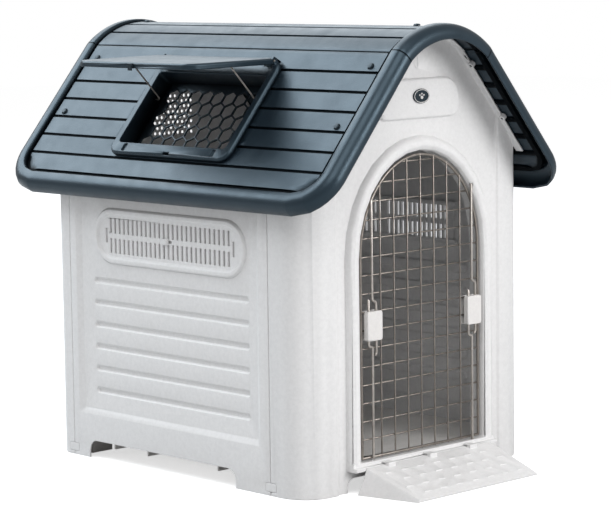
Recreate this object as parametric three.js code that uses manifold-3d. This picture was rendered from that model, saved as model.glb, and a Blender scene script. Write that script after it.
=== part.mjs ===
// A dog house with a round-ridged plank roof, a roof skylight, louvred side walls,
// an arched wire door and a hook-on ramp.
// Millimetres. +Z is up, the door looks along -Y, and +X is to the right seen from the door.
// The origin is on the ground, under the middle of the roof.
import * as THREE from 'three';
import { mergeGeometries, mergeVertices } from 'three/addons/utils/BufferGeometryUtils.js';
import Module from 'manifold-3d';

const wasm = await Module();
wasm.setup();

// ---------------------------------------------------------------- driving dimensions

const SEAT_GAP = 0.3; // between pieces that rest on each other
const FIT_GAP = 0.6; // around a piece that drops into an opening

// roof
const OVERALL_HEIGHT = 657.5;
const ROOF_LENGTH = 698;
const ROOF_MIDDLE = 4; // the roof reaches further behind the house than in front of it
const ROOF_SLOPE = THREE.MathUtils.degToRad(49.7);
const RIDGE_RADIUS = 141; // of the planks between the rims
const RIDGE_HALF_ANGLE = THREE.MathUtils.degToRad(40.2); // less than the slope, which leaves a crease
const SLOPE_LENGTH = 271.5; // from the ridge joint to the eave, along the slope
const ROOF_WALL = 3.5;
const RIM_WIDTH = 27;
const RIM_FLANK = 2; // run of the rim's inner flank
const RIM_RISE = 4.5;
const RIM_ROUND = 16;
const RIM_DEPTH = 18;
const BORDER_GROOVE = 5; // width of the groove inside the rim
const BORDER_DEPTH = 2.2;
const BORDER_BACKING = 0.8; // extra wall under that groove
const EAVE_CORNER_RADIUS = 64;
const RIDGE_FACETS = 5; // of the round ridge, each side of the middle
const RIDGE_JOINT_GAP = 0.8;
const JOINT_LAP = 12;
const LAP_CLEARANCE = 4.4; // under the slope's inner face, to pass below the ridge piece
const LAP_THICKNESS = 2.8;
const PLANK_PITCH = 34.4;
const PLANK_COUNT = 7;
const GROOVE_WIDTH = 4;
const GROOVE_DEPTH = 1.6;

// roof screws
const SCREW_Y = 298; // from the roof's middle
const RIDGE_SCREW_PLACES = [-281, 306];
const SCREW_DROPS = [26, 131]; // down the slope from the ridge joint
const SCREW_HEAD_RADIUS = 6;
const SCREW_HEAD_HEIGHT = 3.4;
const SCREW_SHANK_RADIUS = 2;
const SCREW_REACH = 12; // below the roof's outer face
const SCREW_HOLE_GAP = 0.35;

// walls
const WALL = 3;
const BODY_HALF_WIDTH = 234;
const BODY_FRONT = -284;
const BODY_REAR = 262;
const FRONT_CORNER_RADIUS = 48;
const REAR_CORNER_RADIUS = 26;
const COLUMN_FLAT = 17; // of the corner columns, before they step back to the middle of the front
const COLUMN_STEP = 4;
const FRONT_RETURN = 72; // of the front wall along the sides
const REAR_RETURN = 37;
const WALL_JOINT_GAP = 1;
const WALL_LAP = 14;
const GABLE_FLANGE = 3; // thickness of the band under the roof
const FRONT_FLANGE_TIP = -291; // how far along Y the bands reach
const REAR_FLANGE_TIP = 313;

// door arch
const ARCH_HALF_WIDTH = 128.5;
const ARCH_SPRING = 331;
const ARCH_RISE = 145;
const SILL_TOP = 42;
const MOULDING_WIDTH = 21;
const MOULDING_PROUD = 13; // in front of the middle of the front wall
const MOULDING_ROUND = 9; // depth of its rounded crown
const SOFFIT_WALL = 4;
const SOFFIT_BACK = -262;
const SILL_THICKNESS = 6;
const SILL_LEDGE_DROP = 5;
const SILL_LEDGE_DEPTH = 7;
const APRON_HALF_WIDTH = 148; // of the cut-out under the sill
const APRON_BOTTOM = 20;

// gable badge and the raised plate under it
const BADGE_HALF_WIDTH = 16.5;
const BADGE_HALF_HEIGHT = 10.5;
const BADGE_THICKNESS = 2;
const BADGE_LIFT = 0.37; // share of the height from the arch's moulding to the ridge
const PLATE_PROUD = 7;
const PLATE_BEVEL = 2.5;
const PLATE_HALF_WIDTH = 84;
const PLATE_BELOW = 32; // from the badge's middle
const PLATE_ABOVE = 25;
const PLATE_CORNER = 16;
const PLATE_TOP_CORNER = 30;

// side walls
const FIELD_DEPTH = 5; // of the recessed field
const FIELD_BEVEL = 8;
const FIELD_REAR = 210;
const FIELD_FRONT = -192;
const FIELD_BOTTOM = 68;
const SKIRT_BOTTOM = 27;
const FOOT_LENGTH = 72;
const FOOT_FILLET = 16;
const RIB_COUNT = 6;
const RIB_LOWEST = 106;
const RIB_PITCH = 33.5;
const RIB_HEIGHT = 10;
const RIB_SUNK = 3.5;
const RIB_HALF_LENGTH = 171;
const VENT_Y = 3;
const VENT_Z = 343;
const VENT_HALF_LENGTH = 168;
const VENT_HALF_HEIGHT = 42;
const VENT_RING = 11;
const VENT_PROUD = 4;
const SLOT_COUNT = 27;
const SLOT_PITCH = 10;
const SLOT_WIDTH = 4.6;
const SLOT_HEIGHT = 22;
const SLOT_ROW_OFFSET = 15;
const SHUTTER_TRAVEL = 5;
const SHUTTER_THICKNESS = 2;
const SHUTTER_HALF_HEIGHT = 29;
const SHUTTER_HALF_LENGTH = 148;
const SHUTTER_RAIL = 3;
const KNOB_HALF_WIDTH = 7;
const KNOB_HALF_HEIGHT = 4.5;
const KNOB_STEM = 3;

// rear wall vent
const REAR_VENT_PITCH = 9.5;
const REAR_VENT_COLUMNS = 11;
const REAR_VENT_ROWS = 8;
const REAR_VENT_BOTTOM = 478;
const REAR_VENT_HOLE = 2.7;

// floor
const FLOOR_TOP = 36;
const FLOOR_THICKNESS = 3;
const FLOOR_RIB_DEPTH = 20;
const FLOOR_RIB = 3; // thickness
const FLOOR_RIB_PLACES = [-155, -78, 78, 155]; // both ways from the middle
const FLOOR_LEG = 40;
const FLOOR_LEG_INSET = 30;

// wall clips
const CLIP_LENGTH = 22;
const CLIP_HEIGHT = 12;
const CLIP_Z = 12;

// skylight
const SKY_TOP = 25; // down the slope from the ridge joint
const SKY_LENGTH = 180;
const SKY_SHIFT = 4; // of the skylight towards the rear, from the roof's middle
const SKY_HALF_WIDTH = 131;
const SKY_CORNER = 18;
const SKY_RISE = 8;
const SKY_NOTCH_OFFSET = 97; // of the notches in the frame's lower border
const SKY_NOTCH_LENGTH = 12;
const SKY_NOTCH_HALF = 3.5;
const SKY_NOTCH_END = 5;
const SKY_OPENING_TOP = 54;
const SKY_OPENING_LENGTH = 131;
const SKY_OPENING_HALF_WIDTH = 117;
const SKY_COLLAR = 3;
const SKY_COLLAR_DEPTH = 22;
const GRILLE_THICKNESS = 2.5;
const GRILLE_LIP = 9;
const HEX_PITCH = 25;
const HEX_BAR = 2.6;

// skylight lid and its stays
const LID_OPEN = THREE.MathUtils.degToRad(49);
const LID_HINGE_DROP = 31; // down the slope from the ridge joint
const LID_HINGE_HEIGHT = 13.5;
const LID_LENGTH = 167;
const LID_HALF_WIDTH = 127;
const LID_RIM = 9;
const LID_WALL = 3;
const LID_CORNER = 20;
const HINGE_PIN_RADIUS = 1.6;
const HINGE_KNUCKLE_RADIUS = 4.2;
const HINGE_KNUCKLE_LENGTH = 16;
const HINGE_EAR = 6;
const HINGE_EAR_OFFSET = 122; // outer face of the ears
const STAY_RADIUS = 1.4;
const STAY_OFFSET = 108;
const STAY_ON_LID = 77;
const STAY_TRACK = 70; // of the channel beyond that place
const STAY_PIVOT_DROP = 91;
const STAY_PIVOT_DEPTH = 12;
const STAY_LEG = 11;
const CATCH_WIDTH = 12;
const CATCH_REACH = 3;

// wire door
const DOOR_GAP = 4;
const DOOR_EDGE_RADIUS = 2;
const GRID_WIRE = 2.4;
const GRID_PITCH_X = 27.8;
const GRID_COLUMNS = 7;
const GRID_PITCH_Z = 26;
const GRID_Y = -283.5;
const ROD_RADIUS = 2;
const ROD_X = 104.5;
const ROD_Y = -288.4;
const ROD_JOG = 7.5;
const ROD_ENGAGE = 4;
const ROD_TRAVEL = 7.5;
const ROD_SOCKET_GAP = 0.5;
const GRIP_Z = 235;
const GRIP_WIDTH = 30;
const GRIP_HEIGHT = 42;
const GRIP_WALL = 2;
const GRIP_FRONT = -294.5;
const GRIP_BACK = -279;
const SPRING_WIRE = 0.5;
const SPRING_TURNS = 4;

// ramp
const RAMP_LENGTH = 96;
const RAMP_TIP_SPREAD = 3; // of the tip's foot, each side
const RAMP_BARS = [-75, 0, 75]; // places of the bars under it
const RAMP_BAR = 2.4; // thickness
const TREAD_LENGTH = 14;
const TREAD_WIDTH = 2.4;
const TREAD_PITCH = 33; // across the ramp
const TREAD_STAGGER = 8;
const TREAD_RUN = 20; // along the ramp
const RAMP_TOP_HALF_WIDTH = 130;
const RAMP_BASE_HALF_WIDTH = 150;
const RAMP_TIP_HALF_WIDTH = 124;
const RAMP_TIP = 4;
const RAMP_WALL = 3;
const HOOK_X = 86;
const HOOK_WIDTH = 15;
const HOOK_SLOT_GAP = 0.8;
const TREAD_ROWS = 4;
const TREAD_COLUMNS = 7;

// ---------------------------------------------------------------- derived places

const RIDGE_CENTRE_Z = OVERALL_HEIGHT - RIM_RISE - RIDGE_RADIUS;
const JOINT_LEAN = Math.tan(ROOF_SLOPE - RIDGE_HALF_ANGLE); // of the joint's faces from the slope's normal
const JOINT_X = RIDGE_RADIUS * Math.sin(RIDGE_HALF_ANGLE); // of the joint between the ridge and a slope
const JOINT_Z = RIDGE_CENTRE_Z + RIDGE_RADIUS * Math.cos(RIDGE_HALF_ANGLE);
const FIELD_Y = BODY_FRONT + COLUMN_STEP; // face of the front wall's middle
const MOULDING_FRONT = FIELD_Y - MOULDING_PROUD;
const SILL_FRONT = MOULDING_FRONT + 1;
const LEDGE_FRONT = SILL_FRONT - SILL_LEDGE_DEPTH;
const LEDGE_TOP = SILL_TOP - SILL_LEDGE_DROP;
const SIDE_FRONT_END = BODY_FRONT + FRONT_RETURN + WALL_JOINT_GAP;
const SIDE_REAR_END = BODY_REAR - REAR_RETURN - WALL_JOINT_GAP;
const SKY_BOTTOM = SKY_TOP + SKY_LENGTH;
const COLUMN_EDGE = BODY_HALF_WIDTH - FRONT_CORNER_RADIUS - COLUMN_FLAT;
const MOULDING_TOP = ARCH_SPRING + ARCH_RISE + MOULDING_WIDTH;
const BADGE_Z = MOULDING_TOP + BADGE_LIFT * (OVERALL_HEIGHT - RIM_RISE - ROOF_WALL - MOULDING_TOP);
const BADGE_BACK = FIELD_Y - PLATE_PROUD - SEAT_GAP;
const FIRST_GROOVE = RIDGE_JOINT_GAP + 1.5;
const archTopAt = (x) => ARCH_SPRING + ARCH_RISE * Math.sqrt(1 - (x / ARCH_HALF_WIDTH) ** 2);

// ---------------------------------------------------------------- solids

// a closed geometry as a solid that can be joined and cut
function solid(geometry) {
  const bare = geometry.clone();
  bare.deleteAttribute('normal');
  bare.deleteAttribute('uv');
  const merged = mergeVertices(bare, 1e-4);
  const mesh = new wasm.Mesh({
    numProp: 3,
    vertProperties: new Float32Array(merged.attributes.position.array),
    triVerts: new Uint32Array(merged.index.array),
  });
  return new wasm.Manifold(mesh);
}

const join = (...parts) => parts.flat().reduce((all, part) => all.add(part));
const cut = (body, ...parts) => parts.flat().reduce((left, part) => left.subtract(part), body);
const apart = (geometries) => solid(mergeGeometries(geometries.map((g) => {
  const bare = g.index ? g.toNonIndexed() : g.clone();
  bare.deleteAttribute('normal');
  bare.deleteAttribute('uv');
  return bare;
})));

// a solid as a geometry again
function shapeOf(body) {
  const mesh = body.simplify(0.01).getMesh();
  const geometry = new THREE.BufferGeometry();
  geometry.setAttribute('position', new THREE.BufferAttribute(new Float32Array(mesh.vertProperties), 3));
  geometry.setIndex(new THREE.BufferAttribute(new Uint32Array(mesh.triVerts), 1));
  geometry.computeVertexNormals();
  return geometry;
}

const blockGeometry = (x0, x1, y0, y1, z0, z1) => new THREE.BoxGeometry(x1 - x0, y1 - y0, z1 - z0)
  .translate((x0 + x1) / 2, (y0 + y1) / 2, (z0 + z1) / 2);
const block = (...limits) => solid(blockGeometry(...limits));

function extrude(points, depth) {
  const shape = new THREE.Shape(points.map(([a, b]) => new THREE.Vector2(a, b)));
  return new THREE.ExtrudeGeometry(shape, { depth, bevelEnabled: false, steps: 1 });
}

// outlines in (x, y), (x, z) or (y, z), drawn out along the third axis
const alongZ = (points, z0, z1) => solid(extrude(points, z1 - z0).translate(0, 0, z0));
const alongY = (points, y0, y1) => solid(extrude(points, y1 - y0)
  .rotateX(Math.PI / 2).translate(0, y1, 0));
const alongX = (points, x0, x1) => solid(extrude(points, x1 - x0)
  .rotateX(Math.PI / 2).rotateZ(Math.PI / 2).translate(x0, 0, 0));

// rings with the same number of points, skinned and capped
function loft(rings) {
  const count = rings[0].length;
  const positions = rings.flat().flatMap((p) => [p.x, p.y, p.z]);
  const faces = [];
  for (let i = 0; i + 1 < rings.length; i += 1) {
    for (let j = 0; j < count; j += 1) {
      const a = i * count + j;
      const b = i * count + ((j + 1) % count);
      faces.push(a, b, b + count, a, b + count, a + count);
    }
  }
  const cap = (ring, start, flip) => {
    const normal = new THREE.Vector3();
    ring.forEach((p, j) => normal.add(p.clone().cross(ring[(j + 1) % count])));
    normal.normalize();
    const side = Math.abs(normal.z) < 0.9 ? new THREE.Vector3(0, 0, 1) : new THREE.Vector3(1, 0, 0);
    const u = side.cross(normal).normalize();
    const v = normal.clone().cross(u);
    const flat = ring.map((p) => new THREE.Vector2(p.dot(u), p.dot(v)));
    THREE.ShapeUtils.triangulateShape(flat, []).forEach(([a, b, c]) => {
      faces.push(...(flip ? [start + a, start + c, start + b] : [start + a, start + b, start + c]));
    });
  };
  cap(rings[0], 0, true);
  cap(rings.at(-1), (rings.length - 1) * count, false);
  const geometry = new THREE.BufferGeometry();
  geometry.setAttribute('position', new THREE.Float32BufferAttribute(positions, 3));
  geometry.setIndex(faces);
  let volume = 0;
  const corner = (k) => new THREE.Vector3().fromArray(positions, faces[k] * 3);
  for (let k = 0; k < faces.length; k += 3) volume += corner(k).dot(corner(k + 1).cross(corner(k + 2)));
  if (volume < 0) geometry.setIndex(faces.reverse());
  return geometry;
}

// a round wire through points, mitred at its bends
function wire(points, radius, sides = 6) {
  const direction = (i, j) => points[j].clone().sub(points[i]).normalize();
  let across = null;
  const rings = points.map((point, i) => {
    const before = direction(Math.max(i - 1, 0), Math.max(i, 1));
    const last = points.length - 1;
    const after = direction(Math.min(i, last - 1), Math.min(i + 1, last));
    const along = before.clone().add(after).normalize();
    const stretch = 1 / Math.max(along.dot(before), 0.5);
    const bend = after.clone().sub(before);
    if (!across) {
      across = new THREE.Vector3(0, 1, 0).cross(along);
      if (across.length() < 0.1) across = new THREE.Vector3(1, 0, 0).cross(along);
    }
    across.sub(along.clone().multiplyScalar(across.dot(along))).normalize();
    const upward = along.clone().cross(across);
    return Array.from({ length: sides }, (_, k) => {
      const turn = ((k + 0.5) / sides) * 2 * Math.PI;
      const offset = across.clone().multiplyScalar(Math.cos(turn) * radius)
        .add(upward.clone().multiplyScalar(Math.sin(turn) * radius));
      if (bend.length() > 1e-6) {
        const outward = bend.clone().normalize();
        offset.add(outward.multiplyScalar(offset.dot(outward) * (stretch - 1)));
      }
      return point.clone().add(offset);
    });
  });
  return loft(rings);
}

const at = (x, y, z) => new THREE.Vector3(x, y, z);

// a rounded rectangle, corner by corner from (x0, y0), with its own radius at each corner
function roundedRectangle(x0, x1, y0, y1, radii, steps = 4) {
  const corners = [[x0, y0, 1, 1, Math.PI], [x1, y0, -1, 1, -Math.PI / 2],
    [x1, y1, -1, -1, 0], [x0, y1, 1, -1, Math.PI / 2]];
  return corners.flatMap(([x, y, sx, sy, start], k) => {
    const radius = Array.isArray(radii) ? radii[k] : radii;
    if (radius <= 0) return [[x, y]];
    return Array.from({ length: steps + 1 }, (_, i) => {
      const turn = start + (i / steps) * (Math.PI / 2);
      return [x + sx * radius + radius * Math.cos(turn), y + sy * radius + radius * Math.sin(turn)];
    });
  });
}

// an oblong with half-round ends, centred, in (a, b)
const oblong = (a, b, halfLength, halfHeight, steps = 6) => roundedRectangle(
  a - halfLength, a + halfLength, b - halfHeight, b + halfHeight,
  Math.min(halfHeight, halfLength) - 0.01, steps);

const roundBar = (radius, length, sides) => new THREE.CylinderGeometry(radius, radius, length, sides);

// ---------------------------------------------------------------- nodes

const group = new THREE.Group();
const ROOF_BLUE = { color: 0x6f8799, roughness: 0.5, metalness: 0 };
const WHITE = { color: 0xd9d8d6, roughness: 0.5, metalness: 0 };
const FLOOR_GREY = { color: 0xb9b8b6, roughness: 0.6, metalness: 0 };
const STEEL = { color: 0x9a938a, roughness: 0.35, metalness: 1 };
const DARK = { color: 0x20272c, roughness: 0.5, metalness: 0 };

function place(name, body, look, parent = group) {
  const geometry = body.isBufferGeometry ? body : shapeOf(body);
  const mesh = new THREE.Mesh(geometry, new THREE.MeshStandardMaterial(look));
  mesh.name = name;
  parent.add(mesh);
  return mesh;
}

// ---------------------------------------------------------------- roof shapes

// the shell's section at the rim: distance in from the edge, and height over the outer face
function rimSection() {
  const outer = [[RIM_WIDTH + BORDER_GROOVE, 0], [RIM_WIDTH + BORDER_GROOVE, -BORDER_DEPTH],
    [RIM_WIDTH, -BORDER_DEPTH], [RIM_WIDTH - RIM_FLANK, RIM_RISE]];
  const inner = [];
  const steps = 3;
  for (let i = 0; i <= steps; i += 1) {
    const turn = (i / steps) * (Math.PI / 2);
    const centre = RIM_RISE - RIM_ROUND;
    outer.push([RIM_ROUND * (1 - Math.sin(turn)), centre + RIM_ROUND * Math.cos(turn)]);
    const round = RIM_ROUND - ROOF_WALL;
    inner.unshift([RIM_ROUND - round * Math.sin(turn), centre + round * Math.cos(turn)]);
  }
  outer.push([0, -RIM_DEPTH], [ROOF_WALL, -RIM_DEPTH]);
  const under = -ROOF_WALL - BORDER_BACKING;
  const flank = ROOF_WALL - 1;
  inner.push([RIM_WIDTH - RIM_FLANK - flank, RIM_RISE - ROOF_WALL], [RIM_WIDTH - flank, under],
    [RIM_WIDTH + BORDER_GROOVE + ROOF_WALL / 2, under], [RIM_WIDTH + BORDER_GROOVE + ROOF_WALL, -ROOF_WALL]);
  return [...outer, ...inner];
}

// the slope panel's outline, inset from its edges, in (u, v): u runs down the slope
function slopeOutline(inset) {
  const spare = RIM_WIDTH * 2;
  const radius = EAVE_CORNER_RADIUS - inset;
  return roundedRectangle(inset - spare, SLOPE_LENGTH - inset,
    inset - ROOF_LENGTH / 2, ROOF_LENGTH / 2 - inset, [1, radius, radius, 1], 6);
}

function slopePanel() {
  const rings = rimSection().map(([inset, w]) => slopeOutline(inset).map(([u, v]) => at(u, v, w)));
  const shell = solid(loft(rings));
  const far = ROOF_LENGTH;
  const mitre = alongY([[-far, far], [RIDGE_JOINT_GAP / 2 - far * JOINT_LEAN, far],
    [RIDGE_JOINT_GAP / 2 + far * JOINT_LEAN, -far], [-far, -far]], -far, far);
  const lapHalf = BODY_REAR - WALL - 4 - ROOF_MIDDLE;
  const lapTop = -ROOF_WALL - LAP_CLEARANCE;
  const lap = block(-JOINT_LAP, JOINT_LAP, -lapHalf, lapHalf, lapTop - LAP_THICKNESS, lapTop);
  const step = block(RIDGE_JOINT_GAP / 2, JOINT_LAP, -lapHalf, lapHalf, lapTop - LAP_THICKNESS, -1);
  return shell.add(step).subtract(mitre).add(lap);
}

const grooveHalf = ROOF_LENGTH / 2 - RIM_WIDTH - 1;

// plank grooves, and the border groove inside the rim
function slopeGrooves() {
  const planks = Array.from({ length: PLANK_COUNT - 1 }, (_, i) => {
    const u = FIRST_GROOVE + (i + 1) * PLANK_PITCH;
    return blockGeometry(u - GROOVE_WIDTH / 2, u + GROOVE_WIDTH / 2,
      -grooveHalf, grooveHalf, -GROOVE_DEPTH, 1);
  });
  return apart(planks);
}

const skyHole = (margin) => roundedRectangle(
  SKY_OPENING_TOP - margin, SKY_OPENING_TOP + SKY_OPENING_LENGTH + margin,
  -SKY_OPENING_HALF_WIDTH - margin, SKY_OPENING_HALF_WIDTH + margin, 6 + margin, 3);

const screwHole = (u, v) => solid(roundBar(SCREW_SHANK_RADIUS + SCREW_HOLE_GAP, 40, 8)
  .rotateX(Math.PI / 2).translate(u, v, -5));
const screwPlaces = (signs) => SCREW_DROPS.flatMap((u) => signs.map((sign) => [u, sign * SCREW_Y]));

// ---------------------------------------------------------------- roof pieces

// the two slopes' own frames: u down the slope, v along the eave, w out of the roof
function slopeFrame(side) {
  const frame = new THREE.Group();
  frame.position.set(side * JOINT_X, ROOF_MIDDLE, JOINT_Z);
  frame.rotation.set(0, ROOF_SLOPE, side > 0 ? 0 : Math.PI, 'ZYX');
  group.add(frame);
  return frame;
}
const rightSlope = slopeFrame(1);
const leftSlope = slopeFrame(-1);
const skySlope = new THREE.Group(); // the left slope's frame, moved to the skylight's middle
skySlope.position.y = -SKY_SHIFT;
leftSlope.add(skySlope);

const plainSlope = cut(slopePanel(), slopeGrooves(), screwPlaces([-1, 1]).map(([u, v]) => screwHole(u, v)));
place('roof_right', plainSlope, ROOF_BLUE, rightSlope);
const collarRoom = alongZ(skyHole(SKY_COLLAR + FIT_GAP), -60, 20).translate(0, -SKY_SHIFT, 0);
place('roof_left', plainSlope.subtract(collarRoom), ROOF_BLUE, leftSlope);

// the turns of the ridge's facets, right to left
const ridgeTurns = (count, end) => Array.from({ length: 2 * count + 1 }, (_, i) => (
  Math.max(-end, Math.min(end, ((count - i) / RIDGE_FACETS) * RIDGE_HALF_ANGLE))));

function ridgeCap() {
  const half = ROOF_LENGTH / 2;
  const section = rimSection();
  const rear = section.map(([inset, w]) => [RIDGE_RADIUS + w, half - inset]);
  const front = section.map(([inset, w]) => [RIDGE_RADIUS + w, inset - half]).reverse();
  const profile = [...rear, ...front];
  const end = RIDGE_HALF_ANGLE - RIDGE_JOINT_GAP / 2 / RIDGE_RADIUS;
  const rings = ridgeTurns(RIDGE_FACETS, end).map((turn) => profile.map(
    ([r, y]) => at(r * Math.sin(turn), y, r * Math.cos(turn))));
  const grooves = [-2, -1, 1, 2].map((k) => {
    const angle = Math.sign(k) * (RIDGE_HALF_ANGLE - ((3 - Math.abs(k)) * PLANK_PITCH) / RIDGE_RADIUS);
    return blockGeometry(-GROOVE_WIDTH / 2, GROOVE_WIDTH / 2, -grooveHalf, grooveHalf, -GROOVE_DEPTH, 4)
      .translate(0, 0, RIDGE_RADIUS).rotateY(angle);
  });
  const holes = RIDGE_SCREW_PLACES.map((y) => solid(roundBar(SCREW_SHANK_RADIUS + SCREW_HOLE_GAP, 40, 8)
    .rotateX(Math.PI / 2).translate(0, y - ROOF_MIDDLE, RIDGE_RADIUS)));
  return cut(solid(loft(rings)), apart(grooves), holes).translate(0, ROOF_MIDDLE, RIDGE_CENTRE_Z);
}
place('roof_ridge', ridgeCap(), ROOF_BLUE);

// round-headed screws, head up the local Z, shank down
function screw() {
  const head = SCREW_HEAD_RADIUS;
  const lift = SEAT_GAP;
  const profile = [[0, -SCREW_REACH], [SCREW_SHANK_RADIUS, -SCREW_REACH], [SCREW_SHANK_RADIUS, lift],
    [head, lift], [head * 0.75, SCREW_HEAD_HEIGHT * 0.8], [0, SCREW_HEAD_HEIGHT]];
  return new THREE.LatheGeometry(profile.map(([r, h]) => new THREE.Vector2(r, h)), 6).rotateX(Math.PI / 2);
}

const onSlope = (side) => new THREE.Matrix4().compose(
  at(side * JOINT_X, ROOF_MIDDLE, JOINT_Z),
  new THREE.Quaternion().setFromEuler(new THREE.Euler(0, ROOF_SLOPE, side > 0 ? 0 : Math.PI, 'ZYX')),
  at(1, 1, 1),
);

// a place on the roof for each screw at one end, as the matrix that takes it there
function screwFrames(end) {
  const ridgeY = RIDGE_SCREW_PLACES[end < 0 ? 0 : 1];
  const ridge = new THREE.Matrix4().makeTranslation(0, ridgeY, RIDGE_CENTRE_Z + RIDGE_RADIUS);
  const slope = (side) => SCREW_DROPS.map((u) => onSlope(side)
    .multiply(new THREE.Matrix4().makeTranslation(u, side * end * SCREW_Y, 0)));
  const [leftHigh, leftLow] = slope(-1);
  const [rightHigh, rightLow] = slope(1);
  return { ridge, left_high: leftHigh, left_low: leftLow, right_high: rightHigh, right_low: rightLow };
}

[['front', -1], ['rear', 1]].forEach(([endName, end]) => {
  Object.entries(screwFrames(end)).forEach(([spot, matrix]) => {
    place(`screw_${endName}_${spot}`, screw().applyMatrix4(matrix), DARK);
  });
});

// ---------------------------------------------------------------- gable walls

// the roof's inner line less a gap, as (x, z) points from the right eave to the left
function roofLine(gap, drop = SLOPE_LENGTH) {
  const depth = ROOF_WALL + gap;
  const radius = RIDGE_RADIUS - depth;
  const round = ridgeTurns(RIDGE_FACETS - 1, RIDGE_HALF_ANGLE).map(
    (turn) => [radius * Math.sin(turn), RIDGE_CENTRE_Z + radius * Math.cos(turn)]);
  const lean = (ROOF_SLOPE + RIDGE_HALF_ANGLE) / 2;
  const reach = depth / Math.cos((ROOF_SLOPE - RIDGE_HALF_ANGLE) / 2);
  const x = JOINT_X - reach * Math.sin(lean);
  const z = JOINT_Z - reach * Math.cos(lean);
  const arc = [[x, z], ...round, [-x, z]];
  const low = z - drop * Math.sin(ROOF_SLOPE);
  const wide = x + drop * Math.cos(ROOF_SLOPE);
  return [[wide, low], ...arc, [-wide, low]];
}

const underRoof = (gap) => {
  const line = roofLine(gap);
  return [...line, [line.at(-1)[0], -10], [line[0][0], -10]];
};

// a band under the roof between two Y places
function gableFlange(y0, y1) {
  const drop = (BODY_HALF_WIDTH - WALL - 2 - JOINT_X) / Math.cos(ROOF_SLOPE) - 10;
  const outer = roofLine(SEAT_GAP, drop);
  const inner = roofLine(SEAT_GAP + GABLE_FLANGE, drop).reverse();
  return alongY([...outer, ...inner], y0, y1);
}

// bosses and holes for the roof screws, in the house frame
function screwSeats(end) {
  const seat = (radius, from, to) => Object.values(screwFrames(end)).map((matrix) => solid(
    roundBar(radius, to - from, 8).rotateX(Math.PI / 2)
      .translate(0, 0, (to + from) / 2).applyMatrix4(matrix)));
  return {
    bosses: seat(SCREW_SHANK_RADIUS + 3, -ROOF_WALL - GABLE_FLANGE - 6, -ROOF_WALL - 1),
    holes: seat(SCREW_SHANK_RADIUS + SCREW_HOLE_GAP, -60, 20),
  };
}

// the plan of a gable wall with its corner returns; end is -1 at the front and 1 at the rear
function gablePlan(face, returnLength, cornerRadius, end, stepDepth) {
  const side = (offset) => {
    const x = BODY_HALF_WIDTH - offset;
    const y = face - end * offset;
    const radius = cornerRadius - offset;
    const steps = 6;
    const arc = Array.from({ length: steps + 1 }, (_, i) => {
      const turn = (i / steps) * (Math.PI / 2);
      return [x - radius * (1 - Math.cos(turn)), y - end * radius * (1 - Math.sin(turn))];
    });
    const step = stepDepth > 0
      ? [[COLUMN_EDGE + 1.5 - offset / 2, y], [COLUMN_EDGE - 1.5 - offset / 2, y - end * stepDepth]] : [];
    const right = [[x, face - end * returnLength], ...arc, ...step];
    const left = right.map(([px, py]) => [-px, py]).reverse();
    return [...right, ...left];
  };
  return [...side(0), ...side(WALL).reverse()];
}

// the arch in (x, z), grown by an offset
function archPoints(offset, bottom, steps = 14) {
  const points = [[ARCH_HALF_WIDTH + offset, bottom]];
  for (let i = 0; i <= steps; i += 1) {
    const turn = (i / steps) * Math.PI;
    points.push([(ARCH_HALF_WIDTH + offset) * Math.cos(turn),
      ARCH_SPRING + (ARCH_RISE + offset) * Math.sin(turn)]);
  }
  points.push([-ARCH_HALF_WIDTH - offset, bottom]);
  return points;
}

// the rounded moulding round the arch with its soffit, swept from jamb to jamb
function archMoulding() {
  const front = MOULDING_FRONT;
  const back = FIELD_Y + WALL;
  const crown = Array.from({ length: 6 }, (_, i) => {
    const turn = (i / 5) * Math.PI;
    const half = MOULDING_WIDTH / 2;
    return [half * (1 + Math.cos(turn)), front + MOULDING_ROUND * (1 - Math.sin(turn))];
  });
  const section = [[MOULDING_WIDTH, back - 1], ...crown, [0, SOFFIT_BACK],
    [SOFFIT_WALL, SOFFIT_BACK], [SOFFIT_WALL, back - 1]];
  const lines = section.map(([offset]) => archPoints(offset, LEDGE_TOP - SILL_THICKNESS + 1));
  const rings = lines[0].map((_, j) => section.map(([, y], k) => at(lines[k][j][0], y, lines[k][j][1])));
  return solid(loft(rings));
}

function sill() {
  const halfWidth = ARCH_HALF_WIDTH + MOULDING_WIDTH - 0.5;
  const bottom = LEDGE_TOP - SILL_THICKNESS;
  const inner = block(-halfWidth, halfWidth, SILL_FRONT, SOFFIT_BACK, bottom, SILL_TOP);
  const hollow = block(-halfWidth + WALL, halfWidth - WALL, FIELD_Y + WALL, SOFFIT_BACK + 1,
    bottom - 1, SILL_TOP - WALL);
  const ledge = block(-halfWidth, halfWidth, LEDGE_FRONT, SILL_FRONT + 1, bottom, LEDGE_TOP);
  return inner.subtract(hollow).add(ledge);
}

const LIP = 2.2; // the sill ledge's front lip, which the ramp's hooks go over
const HOOK_SLOT_DEPTH = 4.7;
const hookPlaces = [-HOOK_X, 0, HOOK_X];
const hookSlots = () => hookPlaces.map((x) => block(
  x - HOOK_WIDTH / 2 - HOOK_SLOT_GAP, x + HOOK_WIDTH / 2 + HOOK_SLOT_GAP,
  LEDGE_FRONT + LIP, LEDGE_FRONT + LIP + HOOK_SLOT_DEPTH, LEDGE_TOP - SILL_THICKNESS - 1, LEDGE_TOP + 1));

// sockets for the door rods, in the sill and in the arch
const rodSockets = () => [-ROD_X, ROD_X].flatMap((x) => [[SILL_TOP - ROD_ENGAGE - 5, SILL_TOP + 1],
  [archTopAt(ROD_X) - 12, archTopAt(ROD_X) + ROD_ENGAGE + 2]].map(([z0, z1]) => solid(
  roundBar(ROD_RADIUS + ROD_SOCKET_GAP, z1 - z0, 8).rotateX(Math.PI / 2)
    .translate(x, ROD_Y, (z0 + z1) / 2))));

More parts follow.
